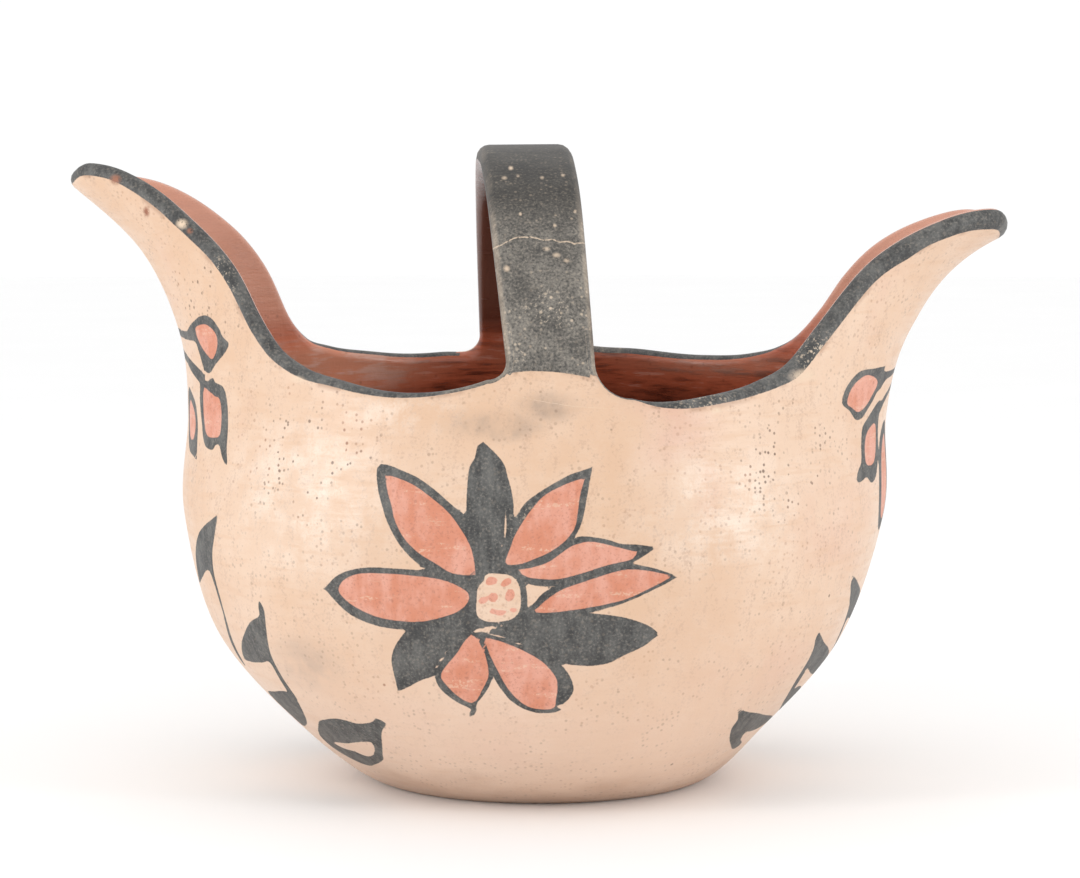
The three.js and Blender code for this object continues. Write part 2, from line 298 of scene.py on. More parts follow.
RIM_QUARTERS = {
    (-1, -1): (0.065, (
        (20, 0), (32, 0.04), (40, 0.095), (45.6, 0.185), (48.8, 0.325), (50.9, 0.53),
        (53.5, 0.715), (55.2, 0.87), (59.5, 0.97), (67, 0.985), (79, 0.94), (90, 0.92),
    )),
    (1, -1): (0.03, (
        (18, 0.03), (31, 0.04), (40, 0.075), (45.4, 0.125), (48.5, 0.235), (50, 0.5),
        (51.6, 0.68), (54.2, 0.83), (58.5, 0.905), (67, 0.925), (79, 0.925), (90, 0.92),
    )),
    (-1, 1): (-0.03, (
        (17, -0.05), (27, -0.03), (36, 0.04), (42.3, 0.143), (46, 0.327), (48.8, 0.538),
        (50.8, 0.74), (53.3, 0.87), (56.5, 0.965), (64, 0.985), (75, 0.93), (90, 0.885),
    )),
    (1, 1): (0.09, (
        (18, 0.06), (30, 0.025), (40, 0.044), (46, 0.093), (50.5, 0.186), (53.5, 0.37),
        (54.5, 0.59), (55.5, 0.787), (58, 0.9), (62.5, 0.96), (73, 0.935), (90, 0.885),
    )),
}


@dataclass(frozen=True)
class Windows:
    """The two windows in the shell, with the strap between them, and the thickness of the clay.

    The rim's quarters are keyed by (end, side): end is -1 for the front and 1 for the back, side is
    -1 for the left and 1 for the right. Each holds the share of the rise at the handle's foot and
    then points of degrees round from the front or back and the share of the rise to the crest.
    """

    shell: Shell
    left_crest: float = 184.0
    right_crest: float = 168.6
    wall: float = 6.0
    floor: float = 8.0
    strap_thickness: float = 7.0
    foot_width: float = 24.7
    crown_width: float = 27.5
    front_foot_x: float = 3.9
    crown_x: float = -5.0
    back_foot_x: float = -7.6
    fillet_left: float = 6.0
    fillet_right: float = 10.0
    end_columns: int = 220
    fillet_rows: int = 9
    strap_rows: int = 40
    fine_steps: int = 24

    def level(self, share: Array, side: int) -> Array:
        """Height at a share of the rise from the rim's level to the crest."""
        return mix(self.shell.rim_height, self.left_crest if side < 0 else self.right_crest, share)

    def strap_reach(self, height: float) -> float:
        """Distance along the profile from the crown down to a height."""
        return self.shell.length - float(self.shell.length_at_height(height))

    @property
    def rim_reach(self) -> float:
        """Distance along the profile from the crown down to the rim's level."""
        return self.strap_reach(self.shell.rim_height)

    def strap_middle(self, share: Array) -> Array:
        """The strap's middle line: a parabola through both feet and the crown.

        Args:
            share: share of the way from the crown to a foot, negative at the front.

        Returns:
            x of the middle line.
        """
        lean = (self.back_foot_x - self.front_foot_x) / 2
        bow = (self.back_foot_x + self.front_foot_x) / 2 - self.crown_x
        return self.crown_x + share * (lean + bow * share)

    def strap_half_width(self, share: Array) -> Array:
        """Half the strap's width, which goes with the square of the share of the way to a foot."""
        return mix(self.crown_width, self.foot_width, share**2) / 2

    def thickness(self, face: Face, places: Array) -> Array:
        """Thickness of the clay, where floor, wall and strap run into each other by soft steps.

        Args:
            face: the map that is used.
            places: places on it.

        Returns:
            The thickness at each.
        """
        if face is Face.STRAP:
            from_foot = self.rim_reach - np.abs(places[..., 1])
            rise = smoothstep(from_foot, self.fillet_right, self.rim_reach / 2)
            return mix(self.wall, self.strap_thickness, rise)
        share = np.hypot(places[..., 0], places[..., 1])
        height = self.shell.section(self.shell.u_at_length(share * self.shell.length))[..., 0]
        return mix(self.floor, self.wall, smoothstep(height, 0, self.shell.belly_height / 2))

    def strap_edge(self, end: int, side: int) -> Array:
        """One edge of the strap: a quarter-circle fillet at the foot, then the edge to the crown.

        Args:
            end: -1 for the front half and 1 for the back half.
            side: -1 for the left edge and 1 for the right one.

        Returns:
            Places on the strap's map.
        """
        foot = self.strap_reach(float(self.level(np.array(RIM_QUARTERS[end, side][0]), side)))
        fillet = self.fillet_left if side < 0 else self.fillet_right
        turn = np.pi / 2 * np.arange(self.fillet_rows) / self.fillet_rows
        rise = (foot - fillet) * (1 - np.arange(self.strap_rows + 1) / self.strap_rows)
        along = np.concatenate([foot - fillet * (1 - np.cos(turn)), rise])
        flare = np.concatenate([fillet * (1 - np.sin(turn)), np.zeros(len(rise))])
        share = end * along / self.rim_reach
        x = self.strap_middle(share) + side * (self.strap_half_width(share) + flare)
        return np.stack([x, end * along], -1)

    def rim_curve(self, side: int, start: Array, stop: Array) -> Array:
        """The rim round one end: a centripetal Catmull-Rom curve, evenly spaced in space.

        Args:
            side: -1 for the left end and 1 for the right one.
            start: the place at the front foot.
            stop: the place at the back foot.

        Returns:
            Places on the bowl's map.
        """
        quarters = []
        for end in (-1, 1):
            degrees, share = np.array(RIM_QUARTERS[end, side][1]).T
            length = self.shell.length_at_height(self.level(share, side)) / self.shell.length
            turn = np.radians(degrees)
            way = np.stack([side * np.sin(turn), end * np.cos(turn)], -1)
            quarters.append(way * length[:, None])
        places = np.vstack([start, quarters[0], quarters[1][:-1][::-1], stop])
        fine = centripetal(places, self.fine_steps * len(places))
        points = self.shell.point(Face.BOWL, fine)
        lengths = np.concatenate([[0], np.cumsum(np.linalg.norm(np.diff(points, axis=0), axis=1))])
        wanted = np.linspace(0, lengths[-1], self.end_columns + 1)
        return np.stack([np.interp(wanted, lengths, fine[:, i]) for i in (0, 1)], -1)

    def loop(self, side: int) -> tuple[Array, Array]:
        """The edge of the clay round one window, drawn in by the radius of the lip.

        Args:
            side: -1 for the left window and 1 for the right one.

        Returns:
            The places on the bowl's map from the front foot to the back foot, and the places on the
            strap's map from the back foot over the crown to the front foot.
        """
        front, back = (self.strap_edge(end, side) for end in (-1, 1))
        rim = self.rim_curve(side, self.shell.on_bowl(front[0]), self.shell.on_bowl(back[0]))
        strap = np.vstack([back[1:], front[1:-1][::-1]])
        parts = ((Face.BOWL, rim), (Face.STRAP, strap))
        points = np.vstack([self.shell.point(face, places) for face, places in parts])
        along = np.roll(points, -1, axis=0) - np.roll(points, 1, axis=0)
        normal = np.vstack([self.shell.slopes(face, places)[2] for face, places in parts])
        inward = np.cross(normal, along)
        inward *= -side / np.linalg.norm(inward, axis=-1, keepdims=True)
        ways = np.split(inward, [len(rim)])
        return tuple(
            self.shell.moved(face, places, way * self.thickness(face, places)[:, None] / 2)
            for (face, places), way in zip(parts, ways)
        )


def centripetal(points: Array, count: int) -> Array:
    """Centripetal Catmull-Rom curve through points, with one ghost point drawn past each end.

    Args:
        points: the control points, one a row.
        count: how many even steps of the parameter are taken over the whole curve.

    Returns:
        count + 1 points.
    """
    ghosts = np.vstack([2 * points[0] - points[1], points, 2 * points[-1] - points[-2]])
    place = np.linspace(0, len(points) - 1, count + 1)
    index = np.minimum(place.astype(int), len(points) - 2)
    t = (place - index)[:, None]
    a, b, c, d = (ghosts[index + k] for k in range(4))
    pairs = ((a, b), (b, c), (c, d))
    gap = [np.sqrt(np.linalg.norm(two - one, axis=1, keepdims=True)) for one, two in pairs]
    slope_b = (b - a) / gap[0] - (c - a) / (gap[0] + gap[1]) + (c - b) / gap[1]
    slope_c = (c - b) / gap[1] - (d - b) / (gap[1] + gap[2]) + (d - c) / gap[2]
    slope_b, slope_c = slope_b * gap[1], slope_c * gap[1]
    square, cube = -3 * b + 3 * c - 2 * slope_b - slope_c, 2 * b - 2 * c + slope_b + slope_c
    return b + t * (slope_b + t * (square + t * cube))


def hand_dents(points: Array, deepest: float = 0.5) -> Array:
    """How deep the hand left the surface below its fair form.

    Half of the deepest dent times 1 plus the mean of two products of sines of the place. It fades
    away toward the flat underside.

    Args:
        points: points of the fair form.
        deepest: about how deep the deepest dent is.

    Returns:
        The depth at each point.
    """
    x, y, z = np.moveaxis(points, -1, 0)
    waves = np.sin(x / 19 + 0.7) * np.sin(z / 15 + y / 31)
    waves = waves + np.sin(x / 11 - z / 9) * np.sin(y / 13 + 1.9)
    return deepest / 2 * (1 + waves / 2) * smoothstep(z, 0, 8)


@dataclass
class Sheet:
    """A patch of clay on one map: its places and both of its sides."""

    face: Face
    places: Array
    outer: Array
    normal: Array
    thickness: Array

    @classmethod
    def on(cls, windows: Windows, face: Face, places: Array) -> Sheet:
        """Works out both sides of the clay.

        Args:
            windows: the form and its thickness.
            face: the map that is used.
            places: places on it.

        Returns:
            The patch.
        """
        normal = windows.shell.slopes(face, places)[2]
        outer = windows.shell.point(face, places)
        outer = outer - normal * hand_dents(outer)[..., None]
        return cls(face, places, outer, normal, windows.thickness(face, places))

    @property
    def inner(self) -> Array:
        """The inner side: the outer side less the thickness along the normal."""
        return self.outer - self.normal * self.thickness[..., None]


class Side(Enum):
    """Which part of the clay a vertex belongs to, as the value of the mesh's own attribute."""

    OUTER = 0.0
    INNER = 1.0


class ClayMesh:
    """Collects grids of vertices and their quads, with what the paint needs to know about them."""

    def __init__(self) -> None:
        """Starts with nothing."""
        self.points: list[Array] = []
        self.normals: list[Array] = []
        self.inside: list[Array] = []
        self.faces: list[Array] = []
        self.count = 0

    def add(self, points: Array, normals: Array, inside: float | Array) -> Array:
        """Adds vertices.

        Args:
            points: positions, in a grid of any shape.
            normals: the outward normal of the clay at each.
            inside: 0 on the outer side, 1 on the inner side, and between them on the lip.

        Returns:
            Their indices in a grid of the same shape.
        """
        shape = points.shape[:-1]
        size = int(np.prod(shape))
        self.points.append(points.reshape(-1, 3))
        self.normals.append(normals.reshape(-1, 3))
        self.inside.append(np.broadcast_to(inside, shape).reshape(-1).astype(float))
        index = np.arange(self.count, self.count + size).reshape(shape)
        self.count += size
        return index

    def skin(self, grid: Array, flip: bool = False) -> None:
        """Adds quads between the rows and columns of an index grid.

        Args:
            grid: indices of its vertices.
            flip: turns the quads over.
        """
        corners = [grid[:-1, :-1], grid[:-1, 1:], grid[1:, 1:], grid[1:, :-1]]
        quads = np.stack(corners, -1).reshape(-1, 4)
        self.faces.append(quads[:, ::-1] if flip else quads)

    def fan(self, middle: int, ring: Array, flip: bool = False) -> None:
        """Adds triangles from a middle vertex to a closed ring.

        Args:
            middle: index of the middle vertex.
            ring: indices of the ring.
            flip: turns the triangles over.
        """
        after = np.roll(ring, -1)
        centre = np.full(len(ring), middle)
        fan = np.stack([centre, after, ring] if not flip else [centre, ring, after], -1)
        self.faces.append(fan)

    def mesh(self, name: str) -> bpy.types.Mesh:
        """Makes the Blender mesh, in metres.

        Args:
            name: the mesh's name.

        Returns:
            The mesh, smooth all over.
        """
        mesh = bpy.data.meshes.new(name)
        points = np.vstack(self.points) * MM
        sizes = np.concatenate([np.full(len(f), f.shape[1]) for f in self.faces])
        corners = np.concatenate([f.reshape(-1) for f in self.faces])
        mesh.vertices.add(len(points))
        mesh.vertices.foreach_set("co", points.astype(np.float32).reshape(-1))
        mesh.loops.add(len(corners))
        mesh.loops.foreach_set("vertex_index", corners.astype(np.int32))
        mesh.polygons.add(len(sizes))
        starts = np.concatenate([[0], np.cumsum(sizes)[:-1]])
        mesh.polygons.foreach_set("loop_start", starts.astype(np.int32))
        mesh.polygons.foreach_set("use_smooth", np.ones(len(sizes), dtype=bool))
        mesh.update(calc_edges=True)
        mesh.validate()
        return mesh


@dataclass
class Built:
    """The finished grids of the body, as the painter needs them.

    wall and places are the vertices of the outer wall and their places on the bowl's map. skins are
    the wall and strap of each side, and rims are the edges of both windows there.
    """

    clay: ClayMesh
    points: Array
    wall: Array
    places: Array
    skins: dict[Side, tuple[Array, Array]]
    rims: dict[Side, tuple[Array, Array]]


@dataclass
class Body:
    """The fine clay body: outer wall, inner wall, strap and lips in one closed mesh."""

    windows: Windows
    foot_columns: int = 44
    base_rings: int = 5
    outer_rings: int = 130
    inner_rings: int = 20
    lip_steps: int = 8

    def foot(self, start: Array, stop: Array) -> Array:
        """Places straight across a foot of the handle, between the rims of both windows."""
        share = np.linspace(0, 1, self.foot_columns + 1)[1:-1, None]
        return mix(start, stop, share)

    def build(self) -> Built:
        """Joins the grids into one closed body.

        Returns:
            The body, with the index grids that the painter needs.
        """
        clay = ClayMesh()
        shell, windows = self.windows.shell, self.windows
        left_rim, left_strap = windows.loop(-1)
        right_rim, right_strap = windows.loop(1)
        front = np.vstack([left_rim[:1], self.foot(left_rim[0], right_rim[0]), right_rim[:1]])
        back = np.vstack([left_rim[-1:], self.foot(left_rim[-1], right_rim[-1]), right_rim[-1:]])
        top = np.vstack([front, right_rim[1:], back[:-1][::-1], left_rim[1:-1][::-1]])
        count = len(top)

        # Directions round the base: half way between each column's own and an even spread
        even = 2 * np.pi * ((np.arange(count) - self.foot_columns / 2) / count - 0.25)
        own = np.arctan2(top[:, 1], top[:, 0])
        turn = even + (own - even - 2 * np.pi * np.round((own - even) / (2 * np.pi))) / 2
        around = np.stack([np.cos(turn), np.sin(turn)], -1)
        base = shell.base_radius / shell.length
        disc = base * np.arange(1, self.base_rings + 1)[:, None, None] / self.base_rings * around
        indices, walls = {}, {}
        for side, rings in ((Side.OUTER, self.outer_rings), (Side.INNER, self.inner_rings)):
            share = (np.arange(1, rings + 1) / rings)[:, None, None]
            places = np.concatenate([disc, mix(disc[-1], top, share)])
            sheet = Sheet.on(windows, Face.BOWL, places)
            points = sheet.outer if side is Side.OUTER else sheet.inner
            grid = clay.add(points, sheet.normal, side.value)
            clay.skin(np.hstack([grid, grid[:, :1]]), side is Side.INNER)
            middle = Sheet.on(windows, Face.BOWL, np.zeros((1, 2)))
            spot = middle.outer if side is Side.OUTER else middle.inner
            centre = clay.add(spot, middle.normal, side.value)
            clay.fan(int(centre[0]), grid[0], side is Side.INNER)
            indices[side], walls[side] = grid[-1], grid
            if side is Side.OUTER:
                wall_places = places.reshape(-1, 2)

        # Rows across the strap, from the front foot over the crown to the back foot
        left_edge, right_edge = left_strap[::-1], right_strap[::-1]
        share = np.linspace(0, 1, self.foot_columns + 1)[None, :, None]
        sheet = Sheet.on(windows, Face.STRAP, mix(left_edge[:, None], right_edge[:, None], share))
        rows = {}
        feet = self.foot_columns
        ends = feet + len(right_rim) - 1
        for side in Side:
            points = sheet.outer if side is Side.OUTER else sheet.inner
            rows[side] = clay.add(points, sheet.normal, side.value)
            ring = indices[side]
            back_row = ring[ends:ends + feet + 1][::-1]
            clay.skin(np.vstack([ring[: feet + 1], rows[side], back_row]), side is Side.INNER)

        # Loops of both windows: rim from the front foot to the back foot, then the strap's edge
        right_loop = {
            s: np.concatenate([indices[s][feet:ends + 1], rows[s][::-1, -1]]) for s in Side
        }
        back_left = ends + feet
        left_loop = {
            s: np.concatenate([indices[s][back_left:], indices[s][:1], rows[s][:, 0]]) for s in Side
        }
        points, normals = np.vstack(clay.points), np.vstack(clay.normals)
        for loop in (right_loop, left_loop):
            self.lip(clay, loop, points, normals)
        return Built(
            clay=clay,
            points=np.vstack(clay.points),
            wall=walls[Side.OUTER].reshape(-1),
            places=wall_places,
            skins={side: (walls[side], rows[side]) for side in Side},
            rims={side: (left_loop[side], right_loop[side]) for side in Side},
        )

    def lip(self, clay: ClayMesh, loop: dict[Side, Array], points: Array, normals: Array) -> None:
        """The half-round lip along one window.

        Half-circles about the middle of the clay, from the outer side to the inner side, where the
        way out is the cross product of the normal and the way along the loop.

        Args:
            clay: the body that gets it.
            loop: the window's edge on both sides, as indices.
            points: the body's points so far.
            normals: their normals.
        """
        outer, normal = points[loop[Side.OUTER]], normals[loop[Side.OUTER]]
        along = np.roll(outer, -1, axis=0) - np.roll(outer, 1, axis=0)
        out = np.cross(normal, along)
        out /= np.linalg.norm(out, axis=-1, keepdims=True)
        thickness = np.linalg.norm(points[loop[Side.INNER]] - outer, axis=-1)[None, :, None]
        turn = np.linspace(0, np.pi, self.lip_steps + 1)[1:-1, None, None]
        middle = outer - normal * thickness / 2
        way = normal * np.cos(turn) + out * np.sin(turn)
        share = np.broadcast_to(turn[..., 0] / np.pi, way.shape[:2])
        grid = clay.add(middle + way * thickness / 2, way, share)
        grid = np.vstack([loop[Side.OUTER], grid, loop[Side.INNER]])
        clay.skin(np.hstack([grid, grid[:, :1]]))


# What is painted on the clay, drawn in millimetres


class Layer(Enum):
    """The colour a painted shape is laid on with, in the order of painting."""

    INK = "ink"
    RED = "red"
    BARE = "bare"
    DAB = "dab"


Outline = tuple[tuple[float, float], ...]

# The flower, seen from a metre in front: to the right of the middle, and height. A corner's point
# is given twice.
FLOWER: tuple[tuple[Layer, Outline], ...] = (
    (Layer.INK, ((-18.3, 101.6), (-18.3, 101.6), (-15.6, 99.3), (-13.2, 97), (-10.9, 94),
                 (-9.7, 90), (-8.6, 86), (-8, 81), (-8.4, 75), (-9.3, 68), (-11.3, 62.6),
                 (-15.5, 60.2), (-19.3, 60.8), (-19.6, 64), (-20.5, 68), (-21.8, 72.5),
                 (-23.3, 75.6), (-22.2, 78.5), (-22.2, 84), (-21.8, 90), (-21.2, 93.4),
                 (-19.7, 95.6), (-19.1, 98.6))),
    (Layer.BARE, ((-10.4, 79.2), (-9.8, 79), (-10.1, 74), (-11.2, 69.2), (-11.6, 69.2),
                  (-10.8, 74))),
    (Layer.INK, ((16, 93.2), (16, 93.2), (11.5, 91.7), (8.5, 90.6), (3.6, 87.9), (-0.9, 85),
                 (-4.5, 82.2), (-6.6, 79), (-8.6, 76), (-10, 68), (-11.3, 62.6), (-6.8, 62.2),
                 (-2.1, 63.3), (2.9, 65.7), (7, 68.4), (10.3, 71.8), (12.3, 75.5), (13.3, 79),
                 (14.4, 85), (15.3, 90.2))),
    (Layer.RED, ((13.6, 89.9), (13.6, 89.9), (8.6, 88.3), (3.8, 86.1), (0.5, 83.8), (-2.6, 80.2),
                 (-5.5, 76), (-7.7, 72), (-9.2, 68), (-10.4, 64), (-6.2, 63.8), (-2.1, 65.2),
                 (2, 67), (6.1, 69.6), (9.3, 72.8), (10.9, 76.1), (11.5, 80), (12.2, 85))),
    (Layer.INK, ((35.1, 68.9), (35.1, 68.9), (29.6, 69.6), (24.4, 70), (19.8, 71.4), (15, 72.1),
                 (10.8, 71.8), (6, 68), (0, 64.4), (-7, 62.2), (-8, 60.6), (-4, 58), (0.3, 57.1),
                 (5, 57.3), (8, 58.3), (15.5, 60.2), (21.5, 62.2), (26.1, 63.4), (30, 65.4))),
    (Layer.RED, ((29.2, 67.4), (29.2, 67.4), (23.8, 68.8), (19.5, 69.9), (15, 70.6), (9.8, 69.3),
                 (6.1, 66.8), (2.4, 64.3), (-3.2, 62.6), (-6.6, 62), (-4.2, 60), (0.3, 59.3),
                 (6.1, 59.4), (13.2, 61.2), (20.3, 63.5), (27.6, 65.2))),
    (Layer.INK, ((41.4, 60.1), (41.4, 60.1), (36.8, 61.9), (32, 63.1), (26.7, 63.9), (20.5, 62.8),
                 (14, 60.8), (8, 58.4), (3, 56.3), (0.5, 54.6), (-1.8, 52), (-4.2, 49.6),
                 (-2, 47.6), (5, 48), (13.2, 49.2), (20.3, 50.4), (27.3, 52.9), (33.2, 55.5),
                 (38.5, 58.2))),
    (Layer.RED, ((40, 60.2), (40, 60.2), (33.8, 61.6), (26.7, 62.2), (20.3, 60.7), (12.6, 58.2),
                 (6.7, 56.1), (2.8, 53.6), (-0.4, 50.8), (-1.8, 49.3), (5, 49.3), (13, 50.4),
                 (20.3, 51.7), (27.3, 53.8), (34.2, 57))),
    (Layer.INK, ((36, 42.6), (36, 42.6), (33.2, 45), (28.4, 46.9), (22.5, 48.2), (14, 49.1),
                 (5, 48.9), (-4, 50), (-8, 46.4), (-11.5, 44.9), (-15.3, 43.6), (-11.6, 42),
                 (-5.6, 39.6), (-0.3, 36.7), (4.4, 34.3), (10.3, 33.3), (15.8, 33.1), (21, 34),
                 (26.1, 36.6), (31, 38.8), (33.8, 40.8))),
    (Layer.INK, ((-18.4, 43.8), (-18.4, 43.8), (-14.5, 42.4), (-9.2, 40.6), (-3.2, 38.2),
                 (2.6, 35.6), (6.7, 33), (9.2, 29.6), (10.1, 26), (8.8, 23.3), (6.4, 21.2),
                 (5.4, 21.8), (5.2, 20.4), (6.6, 19.7), (4.1, 18.9), (-0.9, 18.9), (-5.6, 20.4),
                 (-9.2, 22.9), (-12.1, 26.6), (-13.4, 28.6), (-14.8, 31.5), (-16.8, 36.1))),
    (Layer.RED, ((-17.1, 41.8), (-17.1, 41.8), (-13, 40.7), (-7.4, 38.7), (-2.1, 36.1), (2, 33.1),
                 (4.8, 29.4), (5.2, 26.1), (4.8, 22.9), (4.1, 20.3), (-0.3, 20), (-4.6, 21.3),
                 (-8.9, 25.1), (-12.1, 30.4), (-14.6, 35.4))),
    (Layer.INK, ((-20.3, 44), (-20.3, 44), (-17.4, 41), (-15.2, 35), (-14.4, 30), (-16.2, 25.4),
                 (-19.2, 21.5), (-18.9, 20.2), (-20.3, 17.8), (-21.7, 18.1), (-20.9, 20), (-25, 22),
                 (-29.5, 25.5), (-31.6, 29.2), (-30.4, 32.6), (-26, 38))),
    (Layer.RED, ((-20.2, 42.8), (-20.2, 42.8), (-18, 39.3), (-16.3, 35), (-15.6, 30.2), (-17.4, 26),
                 (-20, 21.9), (-24.2, 23.5), (-28, 27), (-29.9, 30.1), (-28, 33.5), (-25, 37),
                 (-22.4, 41))),
    (Layer.INK, ((-39, 44.6), (-42.1, 41.5), (-44.2, 38), (-44.9, 34.4), (-43.9, 29.6),
                 (-42.9, 25.4), (-42.9, 25.4), (-40.4, 26.4), (-36, 28.7), (-31.9, 30.2),
                 (-29, 33.6), (-25, 38.6), (-20, 44), (-20, 49), (-30, 48.4))),
    (Layer.BARE, ((-26.4, 39.5), (-26.8, 39.6), (-31.8, 32.4), (-31.4, 32.2))),
    (Layer.INK, ((-65.1, 56.4), (-65.1, 56.4), (-61.8, 60), (-57.4, 62), (-51.4, 62.8),
                 (-44.4, 62.5), (-36.2, 61.9), (-29, 61), (-23, 59.4), (-19.4, 56), (-19.4, 50),
                 (-22, 46.4), (-30, 45.4), (-40, 44.1), (-46.2, 44.5), (-52.1, 46), (-57.4, 48.6),
                 (-61.6, 52.4))),
    (Layer.RED, ((-60.9, 56.2), (-59.3, 59), (-55, 60.8), (-47.4, 61), (-38.6, 60.3), (-29.8, 59.1),
                 (-24.2, 56.8), (-21.6, 54.8), (-21.8, 52.3), (-24.5, 49.7), (-29.2, 47.9),
                 (-36.2, 46.5), (-43.3, 46.7), (-50.3, 48.2), (-56.2, 51.1), (-59.7, 54))),
    (Layer.INK, ((-48.9, 94.1), (-48.9, 94.1), (-46.2, 93.8), (-42.1, 92.3), (-36.8, 89.8),
                 (-31.5, 86), (-26.5, 81.5), (-22.4, 78), (-20, 70), (-18.4, 60.5), (-24, 59.4),
                 (-33.5, 61.9), (-38.3, 65.1), (-42.4, 69.5), (-45.4, 74.9), (-47.4, 80.2),
                 (-48.9, 86), (-49.3, 91.2))),
    (Layer.RED, ((-46.8, 90.9), (-46.8, 90.9), (-42.7, 89.7), (-37.4, 87.2), (-32.1, 83.2),
                 (-27.4, 79), (-24.1, 74.5), (-21.3, 69.6), (-20, 65.2), (-19.5, 60.6),
                 (-19.5, 60.6), (-23.3, 60.5), (-27.4, 61.4), (-31, 63.7), (-36.5, 67.1),
                 (-40.9, 71.4), (-43.6, 76.4), (-45, 81.7), (-46.2, 86.1))),
    (Layer.INK, ((-21.5, 58.5), (-18.5, 61.5), (-11, 62.4), (-7.2, 61), (-4.6, 58), (-3.8, 53),
                 (-4.4, 48.8), (-8, 45.8), (-14, 45), (-18, 44.6), (-21.5, 43.6), (-22.5, 48))),
    (Layer.BARE, ((-16.2, 60.7), (-12, 60.9), (-8.5, 60.1), (-6.3, 57.3), (-5.8, 52.6),
                  (-6.4, 49.3), (-8.8, 47.1), (-14.4, 46.3), (-18, 47.3), (-19.2, 49.5),
                  (-19, 54.9), (-18.7, 57.4), (-17.1, 58.2))),
    (Layer.DAB, ((-16.3, 57.6), (-16, 59.6), (-14, 59.9), (-12.6, 58.6), (-14, 57.6))),
    (Layer.DAB, ((-12, 57), (-11, 59), (-9, 59.6), (-8.6, 58.2), (-10.6, 57))),
    (Layer.DAB, ((-15.7, 54.2), (-14.2, 55.3), (-12.7, 54.4), (-13, 52.6), (-14.6, 52.3),
                 (-15.6, 53))),
    (Layer.DAB, ((-10.6, 53.4), (-10, 55.8), (-8.3, 56.2), (-7.6, 54.4), (-8.5, 52.8),
                 (-9.8, 52.5))),
    (Layer.DAB, ((-18.6, 52), (-18.3, 53.6), (-16.4, 54), (-15.8, 52.7), (-17, 51.7))),
    (Layer.DAB, ((-15.4, 49), (-14.9, 50.5), (-12.8, 50), (-10.4, 49.8), (-10.6, 48.6),
                 (-12.4, 48.2), (-14, 48.7))),
    (Layer.DAB, ((-9.4, 49.6), (-8.6, 50.6), (-7, 50.3), (-7.2, 49.4), (-8.4, 49.2))),
)

# The sprays on the ends, unrolled: distance round from the keel, and up the keel from the base's
# edge. They are alike on both sides of the keel.
LEFT_SPRAY: tuple[tuple[Layer, Outline], ...] = (
    (Layer.INK, ((37, 164), (40, 163), (43, 160), (44, 158), (47.3, 156), (47.3, 156), (44, 153),
                 (41, 151), (38, 149), (35, 146.8), (32, 147), (30, 149), (28, 153), (26, 155.5),
                 (19, 155.6), (8, 156.3), (-2, 156.5), (-2, 158.6), (8, 158.7), (20, 158.4),
                 (24, 160), (29, 162), (33, 163.5))),
    (Layer.RED, ((29, 160), (35, 161.2), (39, 160), (41, 157.5), (40, 154), (37, 151), (34, 152),
                 (31, 154), (29.2, 156), (28.3, 158))),
    (Layer.INK, ((-2, 153.2), (12, 151.7), (19, 149.8), (26, 147.8), (31, 145.8), (30, 142.4),
                 (25, 144.2), (18, 146.6), (12, 148.7), (-2, 150.6))),
    (Layer.INK, ((33, 144.2), (36.5, 145.4), (38, 144.2), (42, 143.4), (44, 141.6), (45.3, 138),
                 (46, 134), (46.4, 129), (47.2, 125), (49.2, 121), (49.2, 121), (47.6, 121.3),
                 (45, 123.4), (42.4, 126.2), (40, 126), (38.6, 124.6), (34, 125), (31, 127.2),
                 (29, 131), (27, 137), (27, 141.5), (29, 144.3))),
    (Layer.RED, ((30, 142), (35, 141), (38, 140), (40.5, 139.6), (42, 136), (42.2, 132),
                 (41.8, 129), (39, 128.2), (34, 128.3), (31.2, 131), (29.8, 136.5))),
    (Layer.INK, ((13, 141.4), (19, 139.4), (23, 136.5), (25, 131.5), (26, 126.5), (28, 120.4),
                 (28, 120.4), (24, 121.6), (19, 122.6), (15, 125.6), (11, 132), (10.5, 137.5))),
    (Layer.RED, ((14.5, 137.8), (18.5, 136.6), (22, 133.5), (22.9, 129), (21.6, 126.2),
                 (17.5, 126.6), (13.8, 131.5))),
    (Layer.INK, ((47.6, 106.6), (47.6, 106.6), (43, 104.6), (37, 102), (31, 98.8), (25, 94),
                 (20.6, 89), (15, 81.6), (15, 81.6), (26, 85.4), (32, 88), (36, 88), (37.2, 81),
                 (36, 74), (32, 67), (28, 58), (30, 57), (33.8, 65.4), (37.4, 73.4), (38.8, 81),
                 (38.9, 88), (40.6, 94), (44.4, 100.4))),
    (Layer.INK, ((62.4, 82.4), (61, 80), (60, 77.6), (54, 75), (48, 71), (41, 66), (35.4, 60.4),
                 (40, 60), (49, 61.2), (54.3, 62), (53, 56), (50.8, 49), (53, 48.4), (55.2, 55.4),
                 (56.8, 62), (58, 66), (59.8, 70), (61.6, 74), (63.6, 79.5))),
    (Layer.INK, ((29, 46), (40, 48.7), (49, 50.6), (52.4, 48.8), (48.6, 43), (42, 37), (34, 33),
                 (26, 31.6), (26, 39))),
    (Layer.INK, ((46, 35), (52, 38.6), (58, 40.6), (64, 42), (68, 42), (72, 41.3), (79, 43),
                 (82.4, 45), (84, 43), (80, 40), (77, 37.4), (72.4, 33), (69, 29.8), (65, 26.4),
                 (61, 23.4), (53, 20), (47, 18), (41, 19), (35, 23), (36, 28), (41, 32))),
    (Layer.BARE, ((43, 27.6), (52, 29), (58, 30.5), (67.4, 32.6), (65.6, 29.6), (60, 25.6),
                  (55, 24), (51, 25.2), (45, 25.6))),
)
